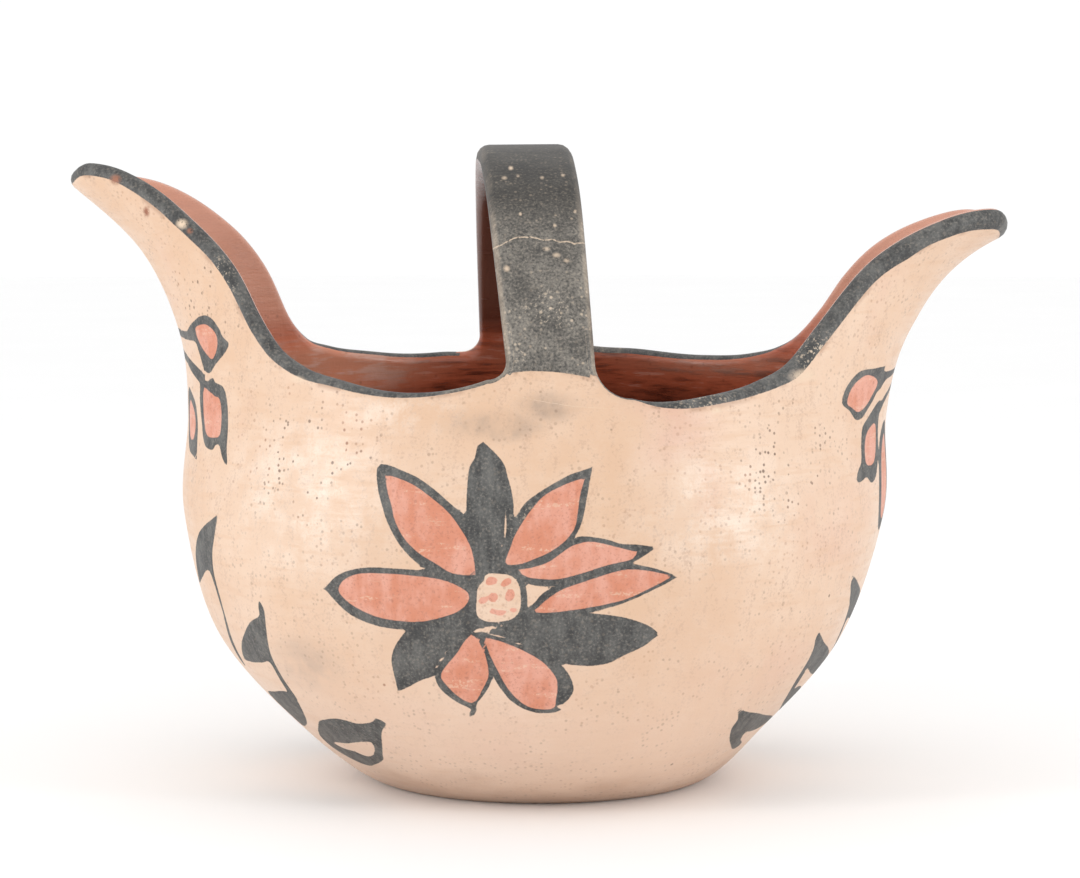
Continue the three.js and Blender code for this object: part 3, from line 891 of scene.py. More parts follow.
RIGHT_SPRAY: tuple[tuple[Layer, Outline], ...] = (
    (Layer.INK, ((49.4, 135), (49, 138), (47, 141), (43, 143.8), (39, 144.6), (34, 144.6),
                 (24, 144.8), (24, 144.8), (24.6, 143), (12, 143.2), (-2, 144.6), (-2, 142.8),
                 (12, 141.3), (21, 140.4), (25, 138), (28, 137), (30, 135), (34, 132), (37, 130),
                 (41, 129.8), (45, 132.6))),
    (Layer.RED, ((46.9, 135.2), (45, 139.6), (41, 142), (37, 142.8), (31, 141.5), (28.4, 139.5),
                 (30.6, 137.2), (33, 135), (36, 133), (40, 132), (44, 133.6))),
    (Layer.INK, ((-2, 140.3), (6, 139.3), (18, 135.8), (24, 132.2), (22, 131), (17, 134),
                 (6, 137.4), (-2, 138.5))),
    (Layer.INK, ((23, 134), (22.8, 127), (23, 120), (25.6, 115), (28, 112), (32, 110.6),
                 (35.6, 112.6), (39, 111.8), (42.4, 111.8), (41.4, 114.8), (38.4, 117), (37.4, 122),
                 (36.4, 127), (34, 129), (30, 131.6), (26, 133.8))),
    (Layer.RED, ((30.6, 126.7), (26, 127.7), (25.2, 123), (27, 118), (30, 116), (34.8, 116.4),
                 (35, 121), (33.6, 124.6))),
    (Layer.INK, ((12, 127.6), (17, 126.4), (21, 122), (23.6, 116), (25, 108), (24, 101), (20, 96),
                 (14, 95), (9.6, 100), (8.8, 110), (9, 121))),
    (Layer.RED, ((13, 123.6), (17, 121.6), (20.4, 116), (22, 108), (21, 101.6), (17.4, 98.6),
                 (13.4, 99.4), (11.6, 108), (11.8, 117))),
    (Layer.INK, ((38.4, 83.8), (38.4, 83.8), (36.8, 80), (34.6, 77.5), (32.6, 75), (30.4, 73),
                 (27, 67), (23, 60), (14, 53), (12.6, 54), (20.6, 61), (24.6, 68), (18, 67),
                 (11, 67), (12, 71), (18, 75.6), (27, 79), (33, 81.6))),
    (Layer.INK, ((49, 67.4), (49, 67.4), (48.4, 64.4), (46.6, 62), (45, 58), (42.4, 50), (37.4, 43),
                 (31, 37.4), (28, 37), (35, 44), (39.4, 51), (40, 53.4), (31, 50), (20, 47.6),
                 (16, 50), (18, 53.6), (28, 58), (39, 62), (45, 65.2))),
    (Layer.INK, ((18, 40), (27, 44), (34, 45), (36, 42.6), (30, 37), (22, 33), (13, 32))),
    (Layer.INK, ((64.6, 42), (61, 41), (57, 39.6), (48, 37.3), (38, 34.4), (24, 31), (19, 28.4),
                 (28, 27.4), (38, 27.6), (42.6, 28.4), (39, 24.6), (32, 21.4), (36, 20), (44, 23.6),
                 (52, 28.4), (57, 33), (59, 37), (62, 39.6))),
)


@dataclass(frozen=True)
class Petal:
    """A petal of the plain flower on the back: direction in degrees, length, width and colour."""

    degrees: float
    length: float
    width: float
    layer: Layer
    start: float = 9.0

    def outline(self, centre: tuple[float, float], inset: float) -> Outline:
        """A pointed oval from the centre outward.

        Half width is w times sin(pi s)^0.8 times (1.25 - s / 2) over s from 0 to 1.

        Args:
            centre: the flower's centre.
            inset: how much smaller the outline is than the petal, all round.

        Returns:
            The outline.
        """
        share = np.linspace(0, 1, 9)
        half = np.sin(np.pi * share) ** 0.8 * (1.25 - share / 2) * (self.width / 2 - inset)
        along = self.start + inset + share * (self.length - self.start - 2.4 * inset)
        both = np.concatenate([np.stack([along, half], -1), np.stack([along, -half], -1)[-1:0:-1]])
        turn = math.radians(self.degrees)
        way = np.array([[math.cos(turn), math.sin(turn)], [-math.sin(turn), math.cos(turn)]])
        return tuple(map(tuple, both @ way + np.array(centre)))


BACK_CENTRE = (8.0, 54.0)
BACK_PETALS = (
    Petal(88, 44, 17, Layer.INK), Petal(44, 46, 18, Layer.RED), Petal(8, 48, 17, Layer.RED),
    Petal(-34, 40, 17, Layer.INK), Petal(-78, 36, 18, Layer.RED), Petal(-126, 38, 17, Layer.RED),
    Petal(178, 50, 18, Layer.INK), Petal(134, 47, 19, Layer.RED),
)


def closed_curve(outline: Outline, steps: int = 5) -> Array:
    """Closed Catmull-Rom curve through an outline's points.

    Args:
        outline: the points, where a doubled one makes a corner.
        steps: how many parts each way between two points gets.

    Returns:
        The curve's points, without doubles.
    """
    points = np.array(outline, dtype=float)
    t = (np.arange(steps) / steps)[None, :, None]
    a, b, c, d = (np.roll(points, 1 - k, axis=0)[:, None] for k in range(4))
    curve = catmull_rom(a, b, c, d, t).reshape(-1, 2)
    return curve[np.linalg.norm(curve - np.roll(curve, 1, axis=0), axis=1) > 1e-6]


def signed_distance(curve: Array, spots: Array, reach: float) -> Array:
    """Distance of spots from a closed curve, negative inside it, and cut off at the reach.

    The distance is the least one to any of its segments. A spot is inside if a ray from it crosses
    the curve an odd number of times.

    Args:
        curve: points of the closed curve.
        spots: where the distance is wanted.
        reach: the greatest distance that is given.

    Returns:
        The distance at each spot.
    """
    result = np.full(len(spots), reach)
    near = np.all((spots > curve.min(0) - reach) & (spots < curve.max(0) + reach), axis=1)
    start, stop = curve, np.roll(curve, -1, axis=0)
    way = stop - start
    from_start = spots[near][:, None] - start
    share = np.clip(dot(from_start, way) / np.maximum(dot(way, way), TINY), 0, 1)
    least = np.min(np.linalg.norm(from_start - share[..., None] * way, axis=-1), axis=1)
    x, y = spots[near].T[:, :, None]
    above = (start[:, 1] > y) != (stop[:, 1] > y)
    slope = way[:, 0] / np.where(way[:, 1] == 0, 1, way[:, 1])
    crosses = above & (x < start[:, 0] + (y - start[:, 1]) * slope)
    inside = crosses.sum(1) % 2 == 1
    result[near] = np.minimum(np.where(inside, -least, least), reach)
    return result


# How far the rim's band comes down from the crest in front, by x
BAND_FRONT = (
    (-141, 2.0), (-130, 2.2), (-117, 2.9), (-102, 2.8), (-88, 2.4), (-72, 2.8), (-60, 2.4),
    (-42, 1.9), (-24, 1.5), (-14, 1.7), (0, 0.9), (20, 0.6), (27, 0.6), (33, 1.8), (42, 2.8),
    (60, 3.0), (72, 3.7), (78, 3.3), (97, 3.4), (106, 4.2), (112, 3.2), (124, 3.6), (132, 4.2),
    (140, 3.4),
)

# Where the paint of the handle ends on its front foot, and where the crack runs: across and up, as
# seen from in front
HANDLE_LINE = (
    (-20, 121.2), (-9.7, 121.4), (-6, 121.9), (-3, 122.2), (4.5, 121.9), (10.6, 121.0),
    (16.6, 119.8), (19, 119.2), (24, 117.4),
)
CRACK = (
    (-14, 159.4), (-12.7, 159.9), (-10.6, 160.8), (-7.6, 162), (-3, 162.6), (1.5, 161.7),
    (3.4, 161.9), (6, 160.8), (8.6, 160.9), (10.6, 160.1), (12.7, 160.8), (16, 161),
)


def nearest_on_line(spots: Array, line: Array, batch: int = 1500) -> tuple[Array, Array]:
    """Finds how near spots are to a closed line in space.

    Args:
        spots: points in space.
        line: points of the line.
        batch: how many spots are worked on at once.

    Returns:
        The distance from each spot to the line's segments, and the start of the nearest one.
    """
    start, way = line, np.roll(line, -1, axis=0) - line
    squares = np.maximum(dot(way, way), TINY)
    distances, nearest = [], []
    for part in np.array_split(spots, max(1, len(spots) // batch)):
        from_start = part[:, None] - start
        share = np.clip(dot(from_start, way) / squares, 0, 1)
        away = np.linalg.norm(from_start - share[..., None] * way, axis=-1)
        best = np.argmin(away, axis=1)
        distances.append(away[np.arange(len(part)), best])
        nearest.append(line[best])
    return np.concatenate(distances), np.vstack(nearest)


@dataclass
class Painting:
    """Lays the painted shapes and the rim's band on the clay, as signed distances.

    The eye is at the viewing distance, raised by an angle over the eye level. Distances go up to
    the reach. The bands are how far the rim's paint comes down, and the feet are the heights where
    the handle's paint ends at the back. On the handle's lips it ends at a share of the half circle,
    one for the front and one for the back.
    """

    windows: Windows
    viewing: float = 1000.0
    elevation: float = 5.0
    eye_level: float = 101.6
    reach: float = 5.0
    lip_radius: float = 3.0
    middle_gap: float = 20.0
    back_line: float = 2.0
    back_band: float = 2.8
    back_band_wave: float = 0.7
    spout_inner_band: float = 0.3
    inner_bands: tuple[float, float] = (0.7, 1.1)
    back_foot: float = 127.0
    left_back_foot: float = 122.5
    handle_half: float = 34.0
    handle_shares: tuple[float, float] = (0.85, 0.35)

    def seen(self, points: Array, front: bool) -> Array:
        """Where points appear from a metre away, in the plane through the middle.

        Args:
            points: points in space.
            front: seen from the front, or else from the back.

        Returns:
            How far across and how far up each appears.
        """
        turned = points * (1 if front else np.array([-1, -1, 1])) - np.array([0, 0, self.eye_level])
        tilt = math.radians(self.elevation)
        toward = turned @ np.array([0, -math.cos(tilt), math.sin(tilt)])
        up = turned @ np.array([0, math.sin(tilt), math.cos(tilt)])
        scale = self.viewing / (self.viewing - toward)
        return np.stack([turned[:, 0] * scale, self.eye_level + up * scale], -1)

    def unrolled(self, places: Array, side: int) -> Array:
        """Unrolls places near an end.

        The distance round is the length of 24 chords of the level section from the keel to the
        place, and the distance up is the length of the keel up to the section.

        Args:
            places: places on the bowl's map.
            side: -1 for the left end and 1 for the right one.

        Returns:
            Distance round from the keel, and distance up the keel from the base's edge.
        """
        shell = self.windows.shell
        u = shell.u_at_length(np.hypot(*places.T) * shell.length)
        turn = np.arctan2(np.abs(places[:, 1]), side * places[:, 0])[:, None]
        turn = turn * np.linspace(0, 1, 25)
        section = np.repeat(shell.section(u)[:, None], turn.shape[1], axis=1)
        level = shell.on_section(section, side * np.cos(turn), np.sin(turn))
        around = np.linalg.norm(np.diff(level, axis=1), axis=-1).sum(1)
        steps = shell.u_steps[shell.lengths >= shell.base_radius]
        cosine = np.full(len(steps), float(side))
        keel = shell.on_section(shell.section(steps), cosine, np.zeros(len(steps)))
        rise = np.concatenate([[0], np.cumsum(np.linalg.norm(np.diff(keel, axis=0), axis=1))])
        return np.stack([around, np.interp(u, steps, rise)], -1)

    def lay(self, shapes: tuple[tuple[Layer, Outline], ...], spots: Array) -> dict[Layer, Array]:
        """Paints shapes one over the other, as signed distances.

        Args:
            shapes: layers and outlines, in the order of painting.
            spots: where the distances are wanted.

        Returns:
            The distances from the black paint and from the red.
        """
        found = {layer: np.full(len(spots), self.reach) for layer in (Layer.INK, Layer.RED)}
        for layer, outline in shapes:
            distance = signed_distance(closed_curve(outline), spots, self.reach)
            if layer is Layer.INK:
                found[Layer.INK] = np.minimum(found[Layer.INK], distance)
            elif layer is Layer.BARE:
                found[Layer.INK] = np.maximum(found[Layer.INK], -distance)
            else:
                found[Layer.RED] = np.minimum(found[Layer.RED], distance)
        return found

    def back_flower(self) -> tuple[tuple[Layer, Outline], ...]:
        """The plain flower on the back.

        Returns:
            Its layers and outlines, in the order of painting.
        """
        shapes = []
        for petal in BACK_PETALS:
            shapes.append((Layer.INK, petal.outline(BACK_CENTRE, 0.0)))
            if petal.layer is Layer.RED:
                shapes.append((Layer.RED, petal.outline(BACK_CENTRE, self.back_line)))
        turn = np.linspace(0, 2 * np.pi, 12, endpoint=False)
        for layer, radius in ((Layer.INK, 10.0), (Layer.BARE, 8.2), (Layer.DAB, 2.4)):
            ring = np.stack([np.cos(turn), np.sin(turn)], -1) * radius + np.array(BACK_CENTRE)
            shapes.append((layer, tuple(map(tuple, ring))))
        return tuple(shapes)

    def pattern(self, places: Array, points: Array) -> dict[Layer, Array]:
        """Paints the flowers and the sprays.

        Args:
            places: the outer wall's places on the bowl's map.
            points: its points.

        Returns:
            The distances from the black paint and from the red, at each of its vertices.
        """
        shell = self.windows.shell
        found = {layer: np.full(len(points), self.reach) for layer in (Layer.INK, Layer.RED)}
        front, back = points[:, 1] < -self.middle_gap, points[:, 1] > self.middle_gap
        jobs = [
            (FLOWER, front, self.seen(points[front], True)),
            (self.back_flower(), back, self.seen(points[back], False)),
        ]
        past_base = np.hypot(*places.T) * shell.length > shell.base_radius
        for side, spray in ((-1, LEFT_SPRAY), (1, RIGHT_SPRAY)):
            end = (side * points[:, 0] > self.middle_gap) & past_base
            jobs.append((spray, end, self.unrolled(places[end], side)))
        for shapes, mask, spots in jobs:
            for layer, distance in self.lay(shapes, spots).items():
                found[layer][mask] = np.minimum(found[layer][mask], distance)
        return found

    def band_edge(self, drop: Array) -> Array:
        """How far past the lip's outer edge a band reaches that comes down this far from the crest.

        Where it comes down by less than the lip's radius r it ends on the lip, at minus r times the
        angle whose sine is 1 - drop / r. Otherwise it ends on the wall, at drop - r.

        Args:
            drop: how far the band comes down.

        Returns:
            The distance from the lip's edge, negative on the lip.
        """
        radius = self.lip_radius
        on_lip = -radius * np.arcsin(np.clip(1 - drop / radius, -1, 1))
        return np.where(drop < radius, on_lip, drop - radius)

    def outer_band(self, x: Array, y: Array) -> Array:
        """How far the rim's band comes down on the outside, by the place along the pot."""
        front = np.interp(x, *np.array(BAND_FRONT).T)
        return np.where(y < 0, front, self.back_band + self.back_band_wave * np.sin(x / 17))

    def inner_band(self, x: Array, y: Array) -> Array:
        """How far the band comes down inside, which is further beside the handle's back foot."""
        beside = smoothstep(-np.abs(x), -90, -66) * smoothstep(y, 20, 50)
        return mix(self.spout_inner_band, np.where(x < 0, *self.inner_bands), beside)

    def rim(self, built: Built) -> Array:
        """Paints the rim and the handle.

        Args:
            built: the body.

        Returns:
            The signed distance from the paint's edge, at every vertex.
        """
        found = np.full(len(built.points), self.reach)
        for side in Side:
            self.rim_on_skin(built, side, found)
        self.rim_on_lip(built, found)
        self.rim_on_handle(built, found)
        return np.clip(found, -self.reach, self.reach)

    def rim_on_skin(self, built: Built, side: Side, found: Array) -> None:
        """Paints the wall's upper third: distance from the lip's edge less the reach of the band.

        Args:
            built: the body.
            side: the outer or the inner skin.
            found: the distances at all vertices, which it writes to.
        """
        band = self.outer_band if side is Side.OUTER else self.inner_band
        wall, strap = built.skins[side]
        spots = wall[len(wall) * 2 // 3:].reshape(-1)
        distance, nearest = np.full(len(spots), np.inf), np.zeros((len(spots), 3))
        for loop in built.rims[side]:
            away, where = nearest_on_line(built.points[spots], built.points[loop])
            closer = away < distance
            distance[closer], nearest[closer] = away[closer], where[closer]
        found[spots] = distance - self.band_edge(band(nearest[:, 0], nearest[:, 1]))
        edge = np.minimum(np.arange(strap.shape[1]), np.arange(strap.shape[1])[::-1])
        found[strap] = edge * self.windows.foot_width / (strap.shape[1] - 1) + self.lip_radius

    def rim_on_lip(self, built: Built, found: Array) -> None:
        """Paints the lips.

        On the rim it is the greater of the distances from both bands' edges, taken back round the
        lip. On the handle the paint ends at a share of the half circle.

        Args:
            built: the body.
            found: the distances at all vertices, which it writes to.
        """
        inside = np.concatenate(built.clay.inside)
        lip = (inside > 0) & (inside < 1)
        x, y, turn = built.points[lip, 0], built.points[lip, 1], np.pi * inside[lip]
        outer = -self.lip_radius * turn - self.band_edge(self.outer_band(x, y))
        inner = -self.lip_radius * (np.pi - turn) - self.band_edge(self.inner_band(x, y))
        foot = np.where((y > 0) & (x < 0), self.left_back_foot, self.back_foot)
        on_handle = built.points[lip, 2] > foot + 60 * smoothstep(np.abs(x), 25, 60)
        handle = self.lip_radius * (turn - np.pi * mix(*self.handle_shares, smoothstep(y, -75, 75)))
        found[lip] = np.where(on_handle, handle, np.maximum(outer, inner))

    def rim_on_handle(self, built: Built, found: Array) -> None:
        """Paints the outside of the handle, down to a line across each foot.

        Args:
            built: the body.
            found: the distances at all vertices, which it writes to.
        """
        wall, strap = built.skins[Side.OUTER]
        found[strap] = self.reach
        flat = np.concatenate([wall.reshape(-1), strap.reshape(-1)])
        x, y, z = built.points[flat].T
        across, up = self.seen(built.points[flat], True).T
        line = np.interp(across, *np.array(HANDLE_LINE).T) - up
        over = np.where(y < 0, line, self.back_foot + 0.5 * np.sin(x / 4) - z)
        near = (z > 100) & (np.abs(x) < self.handle_half)
        found[flat] = np.where(near, np.minimum(found[flat], over), found[flat])

    def crack(self, built: Built) -> Array:
        """Marks the crack across the handle's front.

        Args:
            built: the body.

        Returns:
            How far above the crack each vertex appears from in front.
        """
        found = np.full(len(built.points), self.reach)
        strap = built.skins[Side.OUTER][1].reshape(-1)
        lips = np.flatnonzero((built.points[:, 2] > 140) & (np.abs(built.points[:, 0]) < 30))
        for spots in (strap, lips):
            across, up = self.seen(built.points[spots], True).T
            height = up - np.interp(across, *np.array(CRACK).T)
            front = built.points[spots, 1] < -10
            found[spots] = np.where(front, np.clip(height, -self.reach, self.reach), self.reach)
        return found

    def dress(self, built: Built, mesh: bpy.types.Mesh) -> None:
        """Writes the paint's signed distances, in metres, and the inner side to the mesh.

        Args:
            built: the body.
            mesh: its mesh.
        """
        count = len(built.points)
        layers = {layer.value: np.full(count, self.reach) for layer in (Layer.INK, Layer.RED)}
        for layer, distance in self.pattern(built.places, built.points[built.wall]).items():
            layers[layer.value][built.wall] = distance
        layers["rim"] = self.rim(built)
        layers["crack"] = self.crack(built)
        layers["inside"] = np.concatenate(built.clay.inside) / MM
        for name, values in layers.items():
            attribute = mesh.attributes.new(name, "FLOAT", "POINT")
            attribute.data.foreach_set("value", (values * MM).astype(np.float32))


# Finishes


class Value:
    """A shader socket that Python's operators work on: each adds a Math node."""

    def __init__(self, kit: Kit, socket: bpy.types.NodeSocket | None) -> None:
        """Wraps one output socket."""
        self.kit, self.socket = kit, socket

    def _with(self, operation: str, *values: Operand) -> Value:
        """A Math node's result."""
        return self.kit.node("ShaderNodeMath", {"operation": operation}, dict(enumerate(values)))

    def __add__(self, other: Operand) -> Value:
        """Sum."""
        return self._with("ADD", self, other)

    def __sub__(self, other: Operand) -> Value:
        """Difference."""
        return self._with("SUBTRACT", self, other)

    def __mul__(self, other: Operand) -> Value:
        """Product."""
        return self._with("MULTIPLY", self, other)

    def __truediv__(self, other: Operand) -> Value:
        """Quotient."""
        return self._with("DIVIDE", self, other)

    def __rsub__(self, other: Operand) -> Value:
        """Difference from a number."""
        return self._with("SUBTRACT", other, self)

    __radd__, __rmul__ = __add__, __mul__

    def most(self, other: Operand) -> Value:
        """The greater of two."""
        return self._with("MAXIMUM", self, other)

    def size(self) -> Value:
        """Without its sign."""
        return self._with("ABSOLUTE", self)

    def step(self, low: float, high: float) -> Value:
        """Soft step: 3 t^2 - 2 t^3, with t the share of the way from low to high.

        Args:
            low: where it is 0.
            high: where it is 1, above or below the low.

        Returns:
            The step.
        """
        if low > high:
            return 1.0 - self.step(high, low)
        settings = {"interpolation_type": "SMOOTHSTEP"}
        return self.kit.node("ShaderNodeMapRange", settings, {0: self, 1: low, 2: high})


Operand = float | Value
Triple = tuple[float, float, float]
Colour = Triple


def srgb(red: int, green: int, blue: int) -> Colour:
    """A colour as it looks on a screen, as linear light.

    Each level v from 0 to 1 becomes ((v + 0.055) / 1.055)^2.4, or v / 12.92 near black.

    Args:
        red: level of red, from 0 to 255.
        green: level of green.
        blue: level of blue.

    Returns:
        The same colour, from 0 to 1.
    """
    return tuple(
        level / 255 / 12.92 if level <= 10 else ((level / 255 + 0.055) / 1.055) ** 2.4
        for level in (red, green, blue)
    )


class Kit:
    """Adds nodes to one material."""

    def __init__(self, name: str) -> None:
        """Makes the material, whose patterns lie in the piece's own coordinates.

        Args:
            name: the material's name.
        """
        self.material = bpy.data.materials.new(name)
        self.material.use_nodes = True
        self.tree = self.material.node_tree
        self.tree.nodes.clear()
        self.place = self.node("ShaderNodeTexCoord", {}, {}, "Object")

    def node(self, kind: str, settings: dict, values: dict, output: str | int = 0) -> Value:
        """Adds one node.

        Args:
            kind: the node's type.
            settings: its own properties, set first.
            values: numbers, colours or Values for its inputs, by index or name.
            output: the output that is wanted.

        Returns:
            That output.
        """
        node = self.tree.nodes.new(kind)
        for name, setting in settings.items():
            setattr(node, name, setting)
        for name, value in values.items():
            socket = node.inputs[name]
            if isinstance(value, Value):
                self.tree.links.new(value.socket, socket)
            elif socket.type == "RGBA":
                socket.default_value = (*value, 1.0)[:4]
            else:
                socket.default_value = value
        return Value(self, node.outputs[output] if len(node.outputs) else None)

    def mark(self, name: str) -> Value:
        """A mesh attribute."""
        settings = {"attribute_type": "GEOMETRY", "attribute_name": name}
        return self.node("ShaderNodeAttribute", settings, {}, "Fac")

    def scaled(self, stretch: Triple, shift: Triple = (0.0, 0.0, 0.0)) -> Value:
        """The place on the piece, stretched and shifted."""
        settings = {"operation": "MULTIPLY_ADD"}
        return self.node("ShaderNodeVectorMath", settings, {0: self.place, 1: stretch, 2: shift})

    def noise(self, scale: float, detail: float = 2.0, stretch: Triple = (1.0, 1.0, 1.0),
              shift: float = 0.0, rough: float = 0.5) -> Value:
        """Cloudy noise about 0.5.

        Args:
            scale: features to the metre.
            detail: how many finer noises are laid over it.
            stretch: how much denser it is along each axis.
            shift: moves the pattern.
            rough: strength of the finer noises.

        Returns:
            The noise.
        """
        values = {"Vector": self.scaled(stretch, (shift, -shift, shift / 2)), "Scale": scale,
                  "Detail": detail, "Roughness": rough}
        return self.node("ShaderNodeTexNoise", {"noise_dimensions": "3D"}, values, "Fac")

    def specks(self, scale: float, radius: float, share: float, shift: float = 0.0) -> Value:
        """Scattered round specks, 1 in their middle.

        Args:
            scale: cells to the metre, with one speck at most in each.
            radius: a speck's radius as a share of a cell.
            share: the share of cells that have one.
            shift: moves the pattern.

        Returns:
            The specks.
        """
        values = {"Vector": self.scaled((1.0, 1.0, 1.0), (shift, shift, -shift)), "Scale": scale}
        away = self.node("ShaderNodeTexVoronoi", {"feature": "F1"}, values, "Distance")
        kind = self.node("ShaderNodeTexVoronoi", {"feature": "F1"}, values, "Color")
        parts = self.node("ShaderNodeSeparateColor", {}, {0: kind})
        chosen = parts.step(share, share * 0.9)
        return away.step(radius, radius * 0.45) * chosen

    def blend(self, share: Operand, first: Value | Colour, second: Value | Colour) -> Value:
        """From the first colour to the second."""
        settings = {"data_type": "RGBA", "clamp_factor": True}
        return self.node("ShaderNodeMix", settings, {0: share, 6: first, 7: second}, 2)

    def level(self, share: Operand, first: Operand, second: Operand) -> Value:
        """From the first number to the second."""
        return self.node("ShaderNodeMix", {"data_type": "FLOAT"}, {0: share, 2: first, 3: second})

    def gathered(self, patches: tuple[Patch, ...]) -> Value:
        """The strongest of some patches at each place.

        Args:
            patches: soft ovals, full in their middle and nothing from their edge on.

        Returns:
            From 0 outside them to their strength inside.
        """
        total = None
        for patch in patches:
            stretch = tuple(1 / (radius * MM) for radius in patch.radii)
            shift = tuple(-place / radius for place, radius in zip(patch.centre, patch.radii))
            settings, values = {"operation": "LENGTH"}, {0: self.scaled(stretch, shift)}
            away = self.node("ShaderNodeVectorMath", settings, values, "Value")
            one = away.step(1.0, 0.2) * patch.strength
            total = one if total is None else total.most(one)
        return total

    def height(self) -> Value:
        """Height above the ground in millimetres."""
        return self.axis("Z") / MM

    def axis(self, name: str) -> Value:
        """One coordinate of the place, in metres."""
        return self.node("ShaderNodeSeparateXYZ", {}, {0: self.place}, name)

    def beside(self, half_width: float) -> Value:
        """1 near the middle plane x = 0, and 0 from a little past the half width on."""
        return self.axis("X").size().step((half_width + 2) * MM, half_width * MM)


@dataclass
class Grounds:
    """Patterns of the clay, the polish and the wear, which the finishes share.

    clouds are some 60 mm across, patches 30 mm, mottle 12 mm and grain 1 mm. strokes are the level
    strokes of the polishing stone, and wipes the fine upright ones of the rag. dots, pits and grit
    are specks from coarse to fine.
    """

    clouds: Value
    patches: Value
    mottle: Value
    grain: Value
    strokes: Value
    wipes: Value
    dots: Value
    pits: Value
    grit: Value

    @classmethod
    def lay(cls, kit: Kit) -> Grounds:
        """Adds all of them to a material.

        Args:
            kit: adds the nodes.

        Returns:
            The patterns.
        """
        return cls(
            clouds=kit.noise(16, 2.0),
            patches=kit.noise(38, 3.0, shift=3.1),
            mottle=kit.noise(110, 3.0, shift=1.7, rough=0.6),
            grain=kit.noise(1350, 2.0, shift=2.0, rough=0.65),
            strokes=kit.noise(70, 3.0, (1.0, 1.0, 7.0), 5.0, 0.6),
            wipes=kit.noise(330, 2.0, (1.0, 1.0, 0.3), 6.0, 0.6),
            dots=kit.specks(110, 0.075, 0.25, 0.4),
            pits=kit.specks(290, 0.2, 0.38),
            grit=kit.specks(700, 0.4, 0.4, 0.8),
        )


@dataclass
class Coat:
    """What a finish gives to the shader."""

    colour: Value
    roughness: Value

    def under(self, kit: Kit, mask: Operand, over: Coat) -> Coat:
        """This coat with another one laid over it where the mask is 1."""
        roughness = kit.level(mask, self.roughness, over.roughness)
        return Coat(kit.blend(mask, self.colour, over.colour), roughness)


@dataclass(frozen=True)
class Patch:
    """A soft oval place of another tone: middle and radii in millimetres, and strength."""

    centre: Triple
    radii: Triple
    strength: float


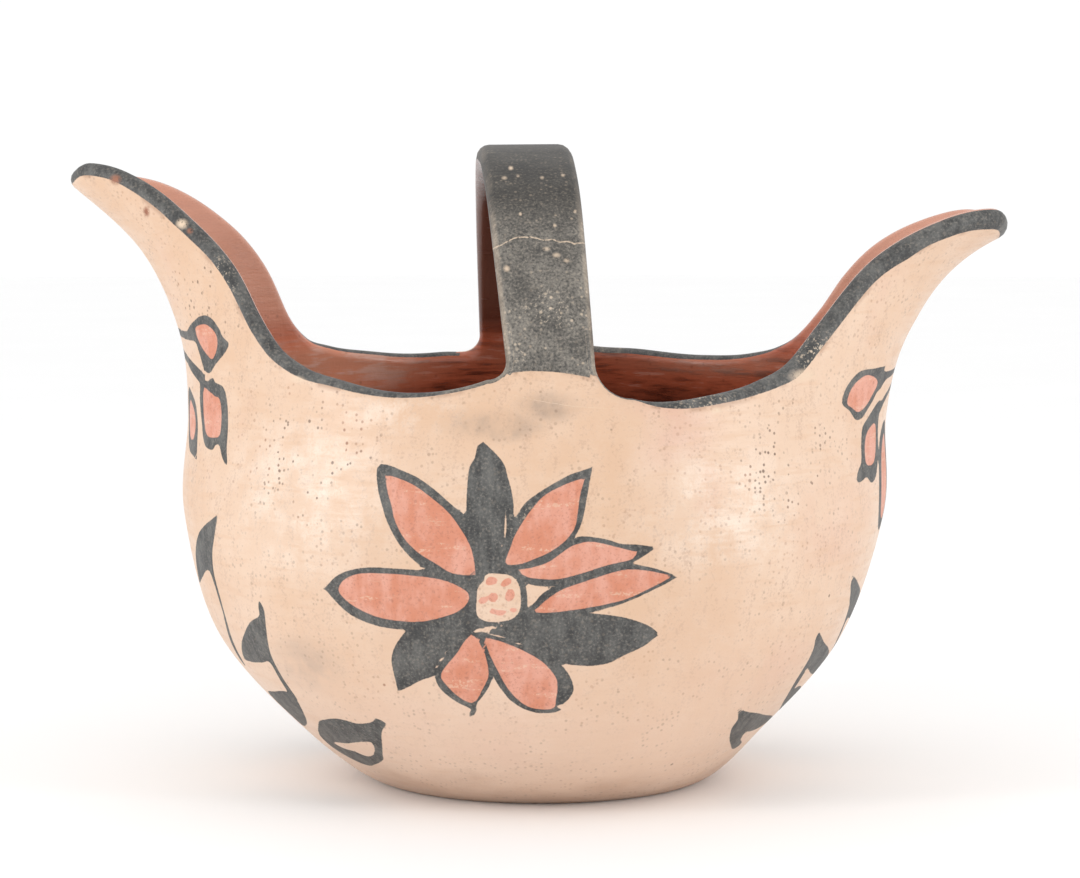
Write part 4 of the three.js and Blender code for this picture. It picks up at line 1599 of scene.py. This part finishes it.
@dataclass(frozen=True)
class Slip:
    """The cream slip: burnished with a stone in level strokes, warm in places, pitted and speckled,
    with pale painted highlights.
    """

    cream: Colour = srgb(221, 192, 168)
    warm: Colour = srgb(214, 179, 150)
    pink: Colour = srgb(212, 170, 149)
    # pale is laid on as a painted highlight.
    pale: Colour = srgb(238, 221, 205)
    brown: Colour = srgb(164, 126, 102)
    low: Colour = srgb(221, 193, 173)
    grey: Colour = srgb(124, 110, 100)
    speck: Colour = srgb(84, 58, 40)
    rust: Colour = srgb(140, 88, 60)
    # Where the rounded sides face the lights: pale painted highlights.
    painted_highlights: tuple[Patch, ...] = (
        Patch((-66, -70, 92), (34, 50, 30), 1.0),
        Patch((52, -74, 88), (34, 50, 22), 0.9),
        Patch((-40, -80, 116), (30, 40, 8), 0.6),
        Patch((40, 84, 90), (40, 50, 26), 0.8),
    )
    blushes: tuple[Patch, ...] = (
        Patch((32, -80, 112), (24, 40, 16), 0.9),
        Patch((88, -50, 84), (26, 40, 30), 0.5),
        Patch((70, -70, 40), (40, 40, 14), 0.6),
        Patch((-20, -70, 24), (80, 50, 16), 0.6),
        Patch((-50, 85, 70), (50, 40, 36), 0.6),
    )
    # Grey smudges; the two lowest, along the bottom edge, are painted shade.
    smudges_and_shade: tuple[Patch, ...] = (
        Patch((-13, -84, 113), (19, 40, 6), 1.0),
        Patch((2, -84, 118), (12, 40, 6), 0.8),
        Patch((-68, -70, 42), (16, 40, 12), 0.8),
        Patch((-70, -60, 10), (40, 50, 9), 0.8),
        Patch((12, -40, 3), (60, 60, 6), 0.4),
        Patch((58, 84, 60), (30, 30, 22), 0.7),
        Patch((-90, 30, 30), (30, 40, 16), 0.6),
    )
    peppered: tuple[Patch, ...] = (
        Patch((-64, -75, 102), (30, 50, 28), 1.0),
        Patch((72, -65, 100), (26, 50, 24), 0.9),
        Patch((-96, -50, 146), (26, 60, 22), 0.8),
        Patch((-30, 85, 80), (40, 50, 30), 0.8),
    )

    def coat(self, kit: Kit, grounds: Grounds) -> Coat:
        """Cream, warm and pink in places, faintly pale all over and pale as painted highlights on
        the sides, with grey smudges that are painted shade along the bottom edge, paler low down,
        browner at the bottom edge, and specks.

        Args:
            kit: adds the nodes.
            grounds: the shared patterns.

        Returns:
            Its colour and roughness.
        """
        colour = kit.blend(grounds.clouds.step(0.36, 0.66), self.cream, self.warm)
        cloudy = grounds.patches.step(0.3, 0.7)
        blush = kit.gathered(self.blushes) * cloudy
        colour = kit.blend(blush.most(grounds.patches.step(0.58, 0.8) * 0.5), colour, self.pink)
        shine = kit.gathered(self.painted_highlights) * 0.8 + 0.2
        # Pale mottling: faint all over, and a painted highlight inside the highlight patches.
        wear_and_sheen = (grounds.mottle * 0.5 + grounds.grain * 0.3 + grounds.wipes * 0.2).step(0.4, 0.62)
        colour = kit.blend(wear_and_sheen * shine * 0.85, colour, self.pale)
        colour = kit.blend(grounds.strokes.step(0.5, 0.32) * 0.45, colour, self.warm)
        worn = (grounds.grain * 0.6 + grounds.wipes * 0.4).step(0.5, 0.66)
        colour = kit.blend(worn * 0.3, colour, self.brown)
        border = kit.mark("rim").step(1.8 * MM, 0.1 * MM) * grounds.mottle.step(0.46, 0.6)
        colour = kit.blend(border * 0.55, colour, self.brown)
        # Grey smudges, with painted shade along the bottom edge.
        soot_and_shade = kit.gathered(self.smudges_and_shade) * (0.2 + grounds.mottle.step(0.3, 0.7))
        colour = kit.blend(soot_and_shade * 0.55, colour, self.grey)
        # Paler toward the bottom, and browner at the bottom edge.
        foot = kit.height() + (grounds.patches - 0.5) * 30
        colour = kit.blend(foot.step(76, 10) * 0.6, colour, self.low)
        colour = kit.blend(foot.step(12, 0) * 0.4, colour, self.brown)
        pepper = kit.gathered(self.peppered) * 0.7 + 0.3
        clustered = (grounds.mottle * 0.6 + grounds.patches * 0.4).step(0.42, 0.54) * pepper
        marks = grounds.pits.most(grounds.grit) * clustered
        marks = marks.most(grounds.dots * 0.8)
        rust = grounds.patches.step(0.5, 0.6)
        colour = kit.blend(marks * 0.9, colour, kit.blend(rust, self.speck, self.rust))
        return Coat(colour, kit.level(grounds.strokes.step(0.3, 0.7), 0.46, 0.33))


@dataclass(frozen=True)
class Ink:
    """The black clay paint: mineral black laid on with a yucca brush, mottled and worn.

    The handle, where hands have rubbed it, is paler than the rim and the flowers.
    """

    dark: Colour = srgb(54, 54, 54)
    light: Colour = srgb(102, 101, 98)
    # The handle, where hands have worn it, is paler than the rim and the flowers.
    held: Colour = srgb(74, 71, 67)
    wear_and_sheen: Colour = srgb(138, 132, 123)
    bare: Colour = srgb(214, 194, 170)
    # deep darkens the handle's top, partly as painted shade.
    deep: Colour = srgb(24, 22, 20)
    flecked: tuple[Patch, ...] = (
        Patch((-95, -45, 150), (9, 60, 12), 1.0),
        Patch((78, -55, 132), (7, 50, 8), 1.0),
        Patch((46, -80, 118), (12, 50, 5), 0.6),
        Patch((2.2, -60, 144), (10, 50, 8), 0.7),
        Patch((-5.5, -60, 132), (3, 50, 5), 0.7),
        Patch((-4, -75, 86), (7, 40, 12), 0.5),
    )

    def coat(self, kit: Kit, grounds: Grounds) -> Coat:
        """Black that goes over to the handle's rubbed grey, with bare flecks.

        Args:
            kit: adds the nodes.
            grounds: the shared patterns.

        Returns:
            Its colour and roughness.
        """
        cover = grounds.mottle * 0.3 + grounds.wipes * 0.35 + grounds.grain * 0.35
        colour = kit.blend(cover.step(0.36, 0.64), self.dark, self.light)
        above = kit.height().step(119, 126) * kit.beside(26)
        salt = (grounds.mottle * 0.4 + grounds.patches * 0.2 + grounds.grain * 0.4).step(0.36, 0.68)
        handle = kit.blend(salt, self.held, self.wear_and_sheen)
        handle = kit.blend(grounds.grain.step(0.5, 0.3) * 0.45, handle, self.dark)
        handle = kit.blend(grounds.grit * grounds.mottle.step(0.46, 0.6) * 0.5, handle, self.bare)
        colour = kit.blend(above, colour, handle)
        edge = kit.mark("inside")
        rubbed_edge = edge.step(0.12, 0.24) * edge.step(0.5, 0.3) * grounds.mottle.step(0.3, 0.6)
        colour = kit.blend(above * rubbed_edge * 0.25, colour, self.bare)
        # Darker toward the top of the handle: partly a darker stripe of paint, partly painted shade
        # where the arch turns up.
        top = kit.height() + (grounds.mottle - 0.5) * 14
        colour = kit.blend(above * top.step(164, 178) * 0.72, colour, self.deep)
        fleck = kit.gathered(self.flecked) * 0.9 + 0.1
        bared = grounds.pits.most(grounds.grit).most(grounds.grain.step(0.58, 0.66)) * fleck
        colour = kit.blend(bared * 0.85, colour, self.bare)
        return Coat(colour, kit.level(grounds.grain, 0.45, 0.62))


@dataclass(frozen=True)
class Ochre:
    """The red clay paint of the petals: thin, with the brush's streaks."""

    full: Colour = srgb(204, 132, 104)
    thin: Colour = srgb(217, 158, 138)
    dark: Colour = srgb(158, 100, 82)
    scratch: Colour = srgb(232, 198, 172)

    def coat(self, kit: Kit, grounds: Grounds) -> Coat:
        """Thin and full paint in streaks, with grains and scratches.

        Args:
            kit: adds the nodes.
            grounds: the shared patterns.

        Returns:
            Its colour and roughness.
        """
        streaks = grounds.mottle * 0.4 + grounds.wipes * 0.3 + grounds.patches * 0.3
        colour = kit.blend(streaks.step(0.4, 0.6), self.full, self.thin)
        colour = kit.blend(grounds.grain.step(0.5, 0.74) * 0.45, colour, self.dark)
        scratched = grounds.strokes.step(0.56, 0.64) * grounds.grain.step(0.46, 0.6)
        colour = kit.blend(scratched * 0.5, colour, self.scratch)
        colour = kit.blend(grounds.pits * 0.4, colour, self.dark)
        return Coat(colour, kit.level(grounds.mottle, 0.4, 0.52))


@dataclass(frozen=True)
class Inside:
    """The red-brown inside: glossy and streaky, pink in the spouts, with painted shade low down,
    pale painted highlights and lighter places painted as light.
    """

    red: Colour = srgb(190, 98, 68)
    pink: Colour = srgb(210, 150, 126)
    # dark is also laid on low down as painted shade.
    dark: Colour = srgb(64, 21, 11)
    smoke: Colour = srgb(140, 116, 100)
    pale: Colour = srgb(248, 214, 200)
    # warm and pale are laid on as painted light and painted highlights.
    warm: Colour = srgb(240, 160, 128)
    # Places on the inner back wall painted lighter, as painted light.
    wear_and_sheen: tuple[Patch, ...] = (
        Patch((-62, 50, 120), (40, 60, 16), 1.0),
        Patch((52, 55, 121), (30, 50, 6), 0.4),
    )

    def coat(self, kit: Kit, grounds: Grounds) -> Coat:
        """Pink above, red and then dark below as painted shade, with dark streaks, pale streaks and
        glints as painted highlights, and paler places on the back wall as painted light.

        Args:
            kit: adds the nodes.
            grounds: the shared patterns.

        Returns:
            Its colour and roughness.
        """
        height = kit.height() + (grounds.patches - 0.5) * 18
        colour = kit.blend(height.step(124, 146), self.red, self.pink)
        # Painted shade deep in the bowl.
        colour = kit.blend(height.step(119, 100) * 0.94, colour, self.dark)
        low = height.step(140, 118)
        colour = kit.blend(grounds.strokes.step(0.44, 0.7) * (low * 0.7 + 0.06), colour, self.dark)
        # Pale streaks low down: painted highlights.
        colour = kit.blend(grounds.strokes.step(0.42, 0.28) * low * 0.2, colour, self.pale)
        # Warmer, paler places on the inner back wall: painted light.
        wear_and_sheen = kit.gathered(self.wear_and_sheen)
        colour = kit.blend(wear_and_sheen * 0.9, colour, self.warm)
        # Pale glints in the lighter places: painted highlights.
        glint = (grounds.strokes * 0.6 + grounds.mottle * 0.4).step(0.45, 0.6)
        colour = kit.blend(wear_and_sheen * glint * 0.45, colour, self.pale)
        colour = kit.blend(height.step(114, 121) * height.step(127, 122) * 0.22, colour, self.smoke)
        colour = kit.blend(kit.height().step(125, 135) * kit.beside(26) * 0.8, colour, self.dark)
        colour = kit.blend(grounds.pits * 0.2, colour, self.dark)
        return Coat(colour, kit.level(grounds.strokes, 0.12, 0.38))


@dataclass(frozen=True)
class Chips:
    """Bare clay where the rim's and the handle's paint is chipped, and the handle's crack."""

    clay: Colour = srgb(222, 198, 172)
    brown: Colour = srgb(150, 98, 74)
    pale: tuple[Patch, ...] = (
        Patch((-9.3, -50, 155.6), (1.4, 50, 1.4), 1.0),
        Patch((4.6, -50, 159.3), (1.7, 50, 1.0), 0.8),
        Patch((7.4, -50, 157.8), (1.3, 50, 1.0), 0.7),
        Patch((1.8, -50, 161), (1.6, 50, 0.8), 0.7),
        Patch((-8.4, -30, 183.4), (1.1, 30, 0.9), 1.0),
        Patch((-10.2, -30, 180.6), (1.3, 30, 0.9), 1.0),
        Patch((-6.3, -30, 181.2), (0.8, 30, 0.7), 0.8),
        Patch((0.6, -30, 180.7), (1.0, 30, 0.8), 0.9),
        Patch((6.6, -30, 181.4), (1.0, 30, 0.8), 0.9),
        Patch((-5.5, -50, 170.6), (0.7, 50, 0.7), 0.8),
        Patch((4.1, -50, 167.4), (0.7, 50, 0.7), 0.8),
        Patch((9.9, -50, 171.3), (0.7, 50, 0.7), 0.7),
        Patch((-104, -40, 167.2), (2.4, 60, 2.0), 1.0),
        Patch((49.2, -80, 116.2), (2.2, 40, 1.2), 0.8),
        Patch((74.8, -60, 124.7), (5.5, 40, 2.6), 0.7),
        Patch((-68.6, -60, 124.0), (3.0, 60, 1.3), 0.6),
        Patch((-21, 66, 126), (3.4, 12, 3.4), 0.6),
    )
    earthy: tuple[Patch, ...] = (
        Patch((-124.4, -20, 180.0), (2.4, 60, 2.0), 1.0),
        Patch((-115, -25, 170.6), (1.5, 60, 2.2), 1.0),
        Patch((-101.6, -40, 165.2), (1.4, 60, 1.2), 0.8),
        Patch((-17.5, 66, 124.5), (1.6, 12, 3.0), 1.0),
    )
    crack_width: float = 0.34

    def lay(self, kit: Kit, grounds: Grounds, under: Coat) -> Coat:
        """Lays them over a coat.

        Args:
            kit: adds the nodes.
            grounds: the shared patterns.
            under: the coat.

        Returns:
            The coat with its chips and its crack.
        """
        ragged = grounds.grain.step(0.2, 0.5)
        colour = kit.blend(kit.gathered(self.pale) * ragged, under.colour, self.clay)
        colour = kit.blend(kit.gathered(self.earthy) * ragged, colour, self.brown)
        line = (kit.mark("crack") + (grounds.mottle - 0.5) * (2.4 * MM)).size()
        broken = grounds.grain.step(0.3, 0.55) * 0.85
        colour = kit.blend(line.step(self.crack_width * MM, 0.0) * broken, colour, self.clay)
        return Coat(colour, under.roughness)


@dataclass(frozen=True)
class PaintedClay:
    """The whole finish of the pot, put together from its coats by the paint's signed distances."""

    slip: Slip = Slip()
    ink: Ink = Ink()
    ochre: Ochre = Ochre()
    inside: Inside = Inside()
    chips: Chips = Chips()
    wobble: float = 0.7
    softness: float = 0.14

    def material(self) -> bpy.types.Material:
        """Builds the material.

        Returns:
            The material of the whole pot.
        """
        kit = Kit("painted_clay")
        grounds = Grounds.lay(kit)
        brush = (grounds.mottle * 0.65 + grounds.grain * 0.35 - 0.5) * (self.wobble * MM)
        soft = self.softness * MM
        black, red, rim = (
            (kit.mark(name) + brush).step(soft, -soft) for name in ("ink", "red", "rim")
        )
        coat = self.slip.coat(kit, grounds)
        layers = (
            (kit.mark("inside").step(0.47, 0.53), self.inside.coat(kit, grounds)),
            (black.most(rim), self.ink.coat(kit, grounds)),
            (red, self.ochre.coat(kit, grounds)),
        )
        for mask, over in layers:
            coat = coat.under(kit, mask, over)
        coat = self.chips.lay(kit, grounds, coat)
        relief = grounds.strokes * 0.3 + grounds.wipes * 0.14 + grounds.grain * 0.08
        normal = kit.node("ShaderNodeBump", {}, {"Strength": 0.6, "Distance": MM, "Height": relief})
        values = {
            "Base Color": coat.colour, "Roughness": coat.roughness, "Normal": normal, "IOR": 1.45,
        }
        shader = kit.node("ShaderNodeBsdfPrincipled", {}, values)
        kit.node("ShaderNodeOutputMaterial", {}, {"Surface": shader})
        return kit.material


# The studio


@dataclass(frozen=True)
class Softbox:
    """An upright soft light that points at the pot, by direction and distance from it."""

    azimuth: float
    elevation: float
    distance: float
    width: float
    height: float
    power: float

    def hang(self, target: tuple[float, float, float]) -> None:
        """Adds the light.

        Args:
            target: the point that it faces.
        """
        turn, rise = math.radians(self.azimuth), math.radians(self.elevation)
        level = math.cos(rise)
        way = np.array([math.sin(turn) * level, -math.cos(turn) * level, math.sin(rise)])
        data = bpy.data.lights.new(f"softbox_{self.azimuth:.0f}", "AREA")
        data.shape, data.energy = "RECTANGLE", self.power
        data.size, data.size_y = self.width, self.height
        lamp = bpy.data.objects.new(data.name, data)
        lamp.location = way * self.distance + np.array(target)
        lamp.rotation_euler = (math.pi / 2 - rise, 0.0, turn)
        bpy.context.scene.collection.objects.link(lamp)


@dataclass(frozen=True)
class Studio:
    """A plain pale floor, soft lights and the camera a metre in front, five degrees up."""

    distance: float = 1.0
    elevation: float = 5.0
    target: tuple[float, float, float] = (0.0, 0.0, 0.1016)
    pixels_per_mm: float = 3.31
    image_width: int = 1080
    floor_radius: float = 4.0
    floor_gap: float = 0.0002
    floor_corners: int = 64
    daylight: float = 1.02
    boxes: tuple[Softbox, ...] = (
        Softbox(-62, 14, 1.1, 0.1, 0.4, 2.8),
        Softbox(60, 14, 1.1, 0.1, 0.4, 2.4),
    )

    def camera(self) -> None:
        """Adds the camera. Its lens gives the photo's scale at the middle of the pot."""
        data = bpy.data.cameras.new("camera")
        data.sensor_width = 36.0
        shown = self.image_width / self.pixels_per_mm * MM
        data.lens = data.sensor_width * self.distance / shown
        camera = bpy.data.objects.new("camera", data)
        rise = math.radians(self.elevation)
        x, y, z = self.target
        away, up = self.distance * math.cos(rise), self.distance * math.sin(rise)
        camera.location = (x, y - away, z + up)
        camera.rotation_euler = (math.pi / 2 - rise, 0.0, 0.0)
        bpy.context.scene.collection.objects.link(camera)
        bpy.context.scene.camera = camera

    def floor(self) -> bpy.types.Object:
        """The floor: a flat disc of near-white, radius times the cosine and sine of the turn.

        Returns:
            The disc, a hair below the pot.
        """
        turn = np.linspace(0, 2 * np.pi, self.floor_corners, endpoint=False)
        ring = np.stack([np.cos(turn), np.sin(turn), np.zeros(len(turn))], -1) * self.floor_radius
        ring[:, 2] = -self.floor_gap
        mesh = bpy.data.meshes.new("floor")
        mesh.from_pydata(ring.tolist(), [], [list(range(len(turn)))])
        floor = bpy.data.objects.new("floor", mesh)
        kit = Kit("pale_floor")
        tone = kit.blend(kit.noise(8, 2), srgb(250, 250, 250), srgb(253, 253, 253))
        shader = kit.node("ShaderNodeBsdfPrincipled", {}, {"Base Color": tone, "Roughness": 0.8})
        kit.node("ShaderNodeOutputMaterial", {}, {"Surface": shader})
        mesh.materials.append(kit.material)
        bpy.context.scene.collection.objects.link(floor)
        return floor

    def world(self) -> None:
        """White light from all round."""
        world = bpy.data.worlds.new("studio")
        world.use_nodes = True
        background = world.node_tree.nodes["Background"]
        background.inputs["Color"].default_value = (1.0, 1.0, 1.0, 1.0)
        background.inputs["Strength"].default_value = self.daylight
        bpy.context.scene.world = world
        bpy.context.scene.view_settings.view_transform = "Standard"

    def set_up(self) -> None:
        """Puts everything in its place."""
        self.camera()
        self.world()
        for box in self.boxes:
            box.hang(self.target)
        self.floor()


def main() -> None:
    """Builds the bowl and the studio in order and reports each."""
    logging.basicConfig(level=logging.INFO, format="%(message)s")
    windows = Windows(Shell())
    built = Body(windows).build()
    mesh = built.clay.mesh("pot_clay")
    Painting(windows).dress(built, mesh)
    mesh.materials.append(PaintedClay().material())
    pot = bpy.data.objects.new("pot_clay", mesh)
    bpy.context.scene.collection.objects.link(pot)
    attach(pot, "root")
    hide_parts("handled_bowl")
    triangles = sum(len(p.vertices) - 2 for p in mesh.polygons)
    log.info("pot_clay: %d vertices, %d triangles", len(mesh.vertices), triangles)
    Studio().set_up()
    log.info("studio: camera, floor and lights")


if __name__ == "__main__":
    main()
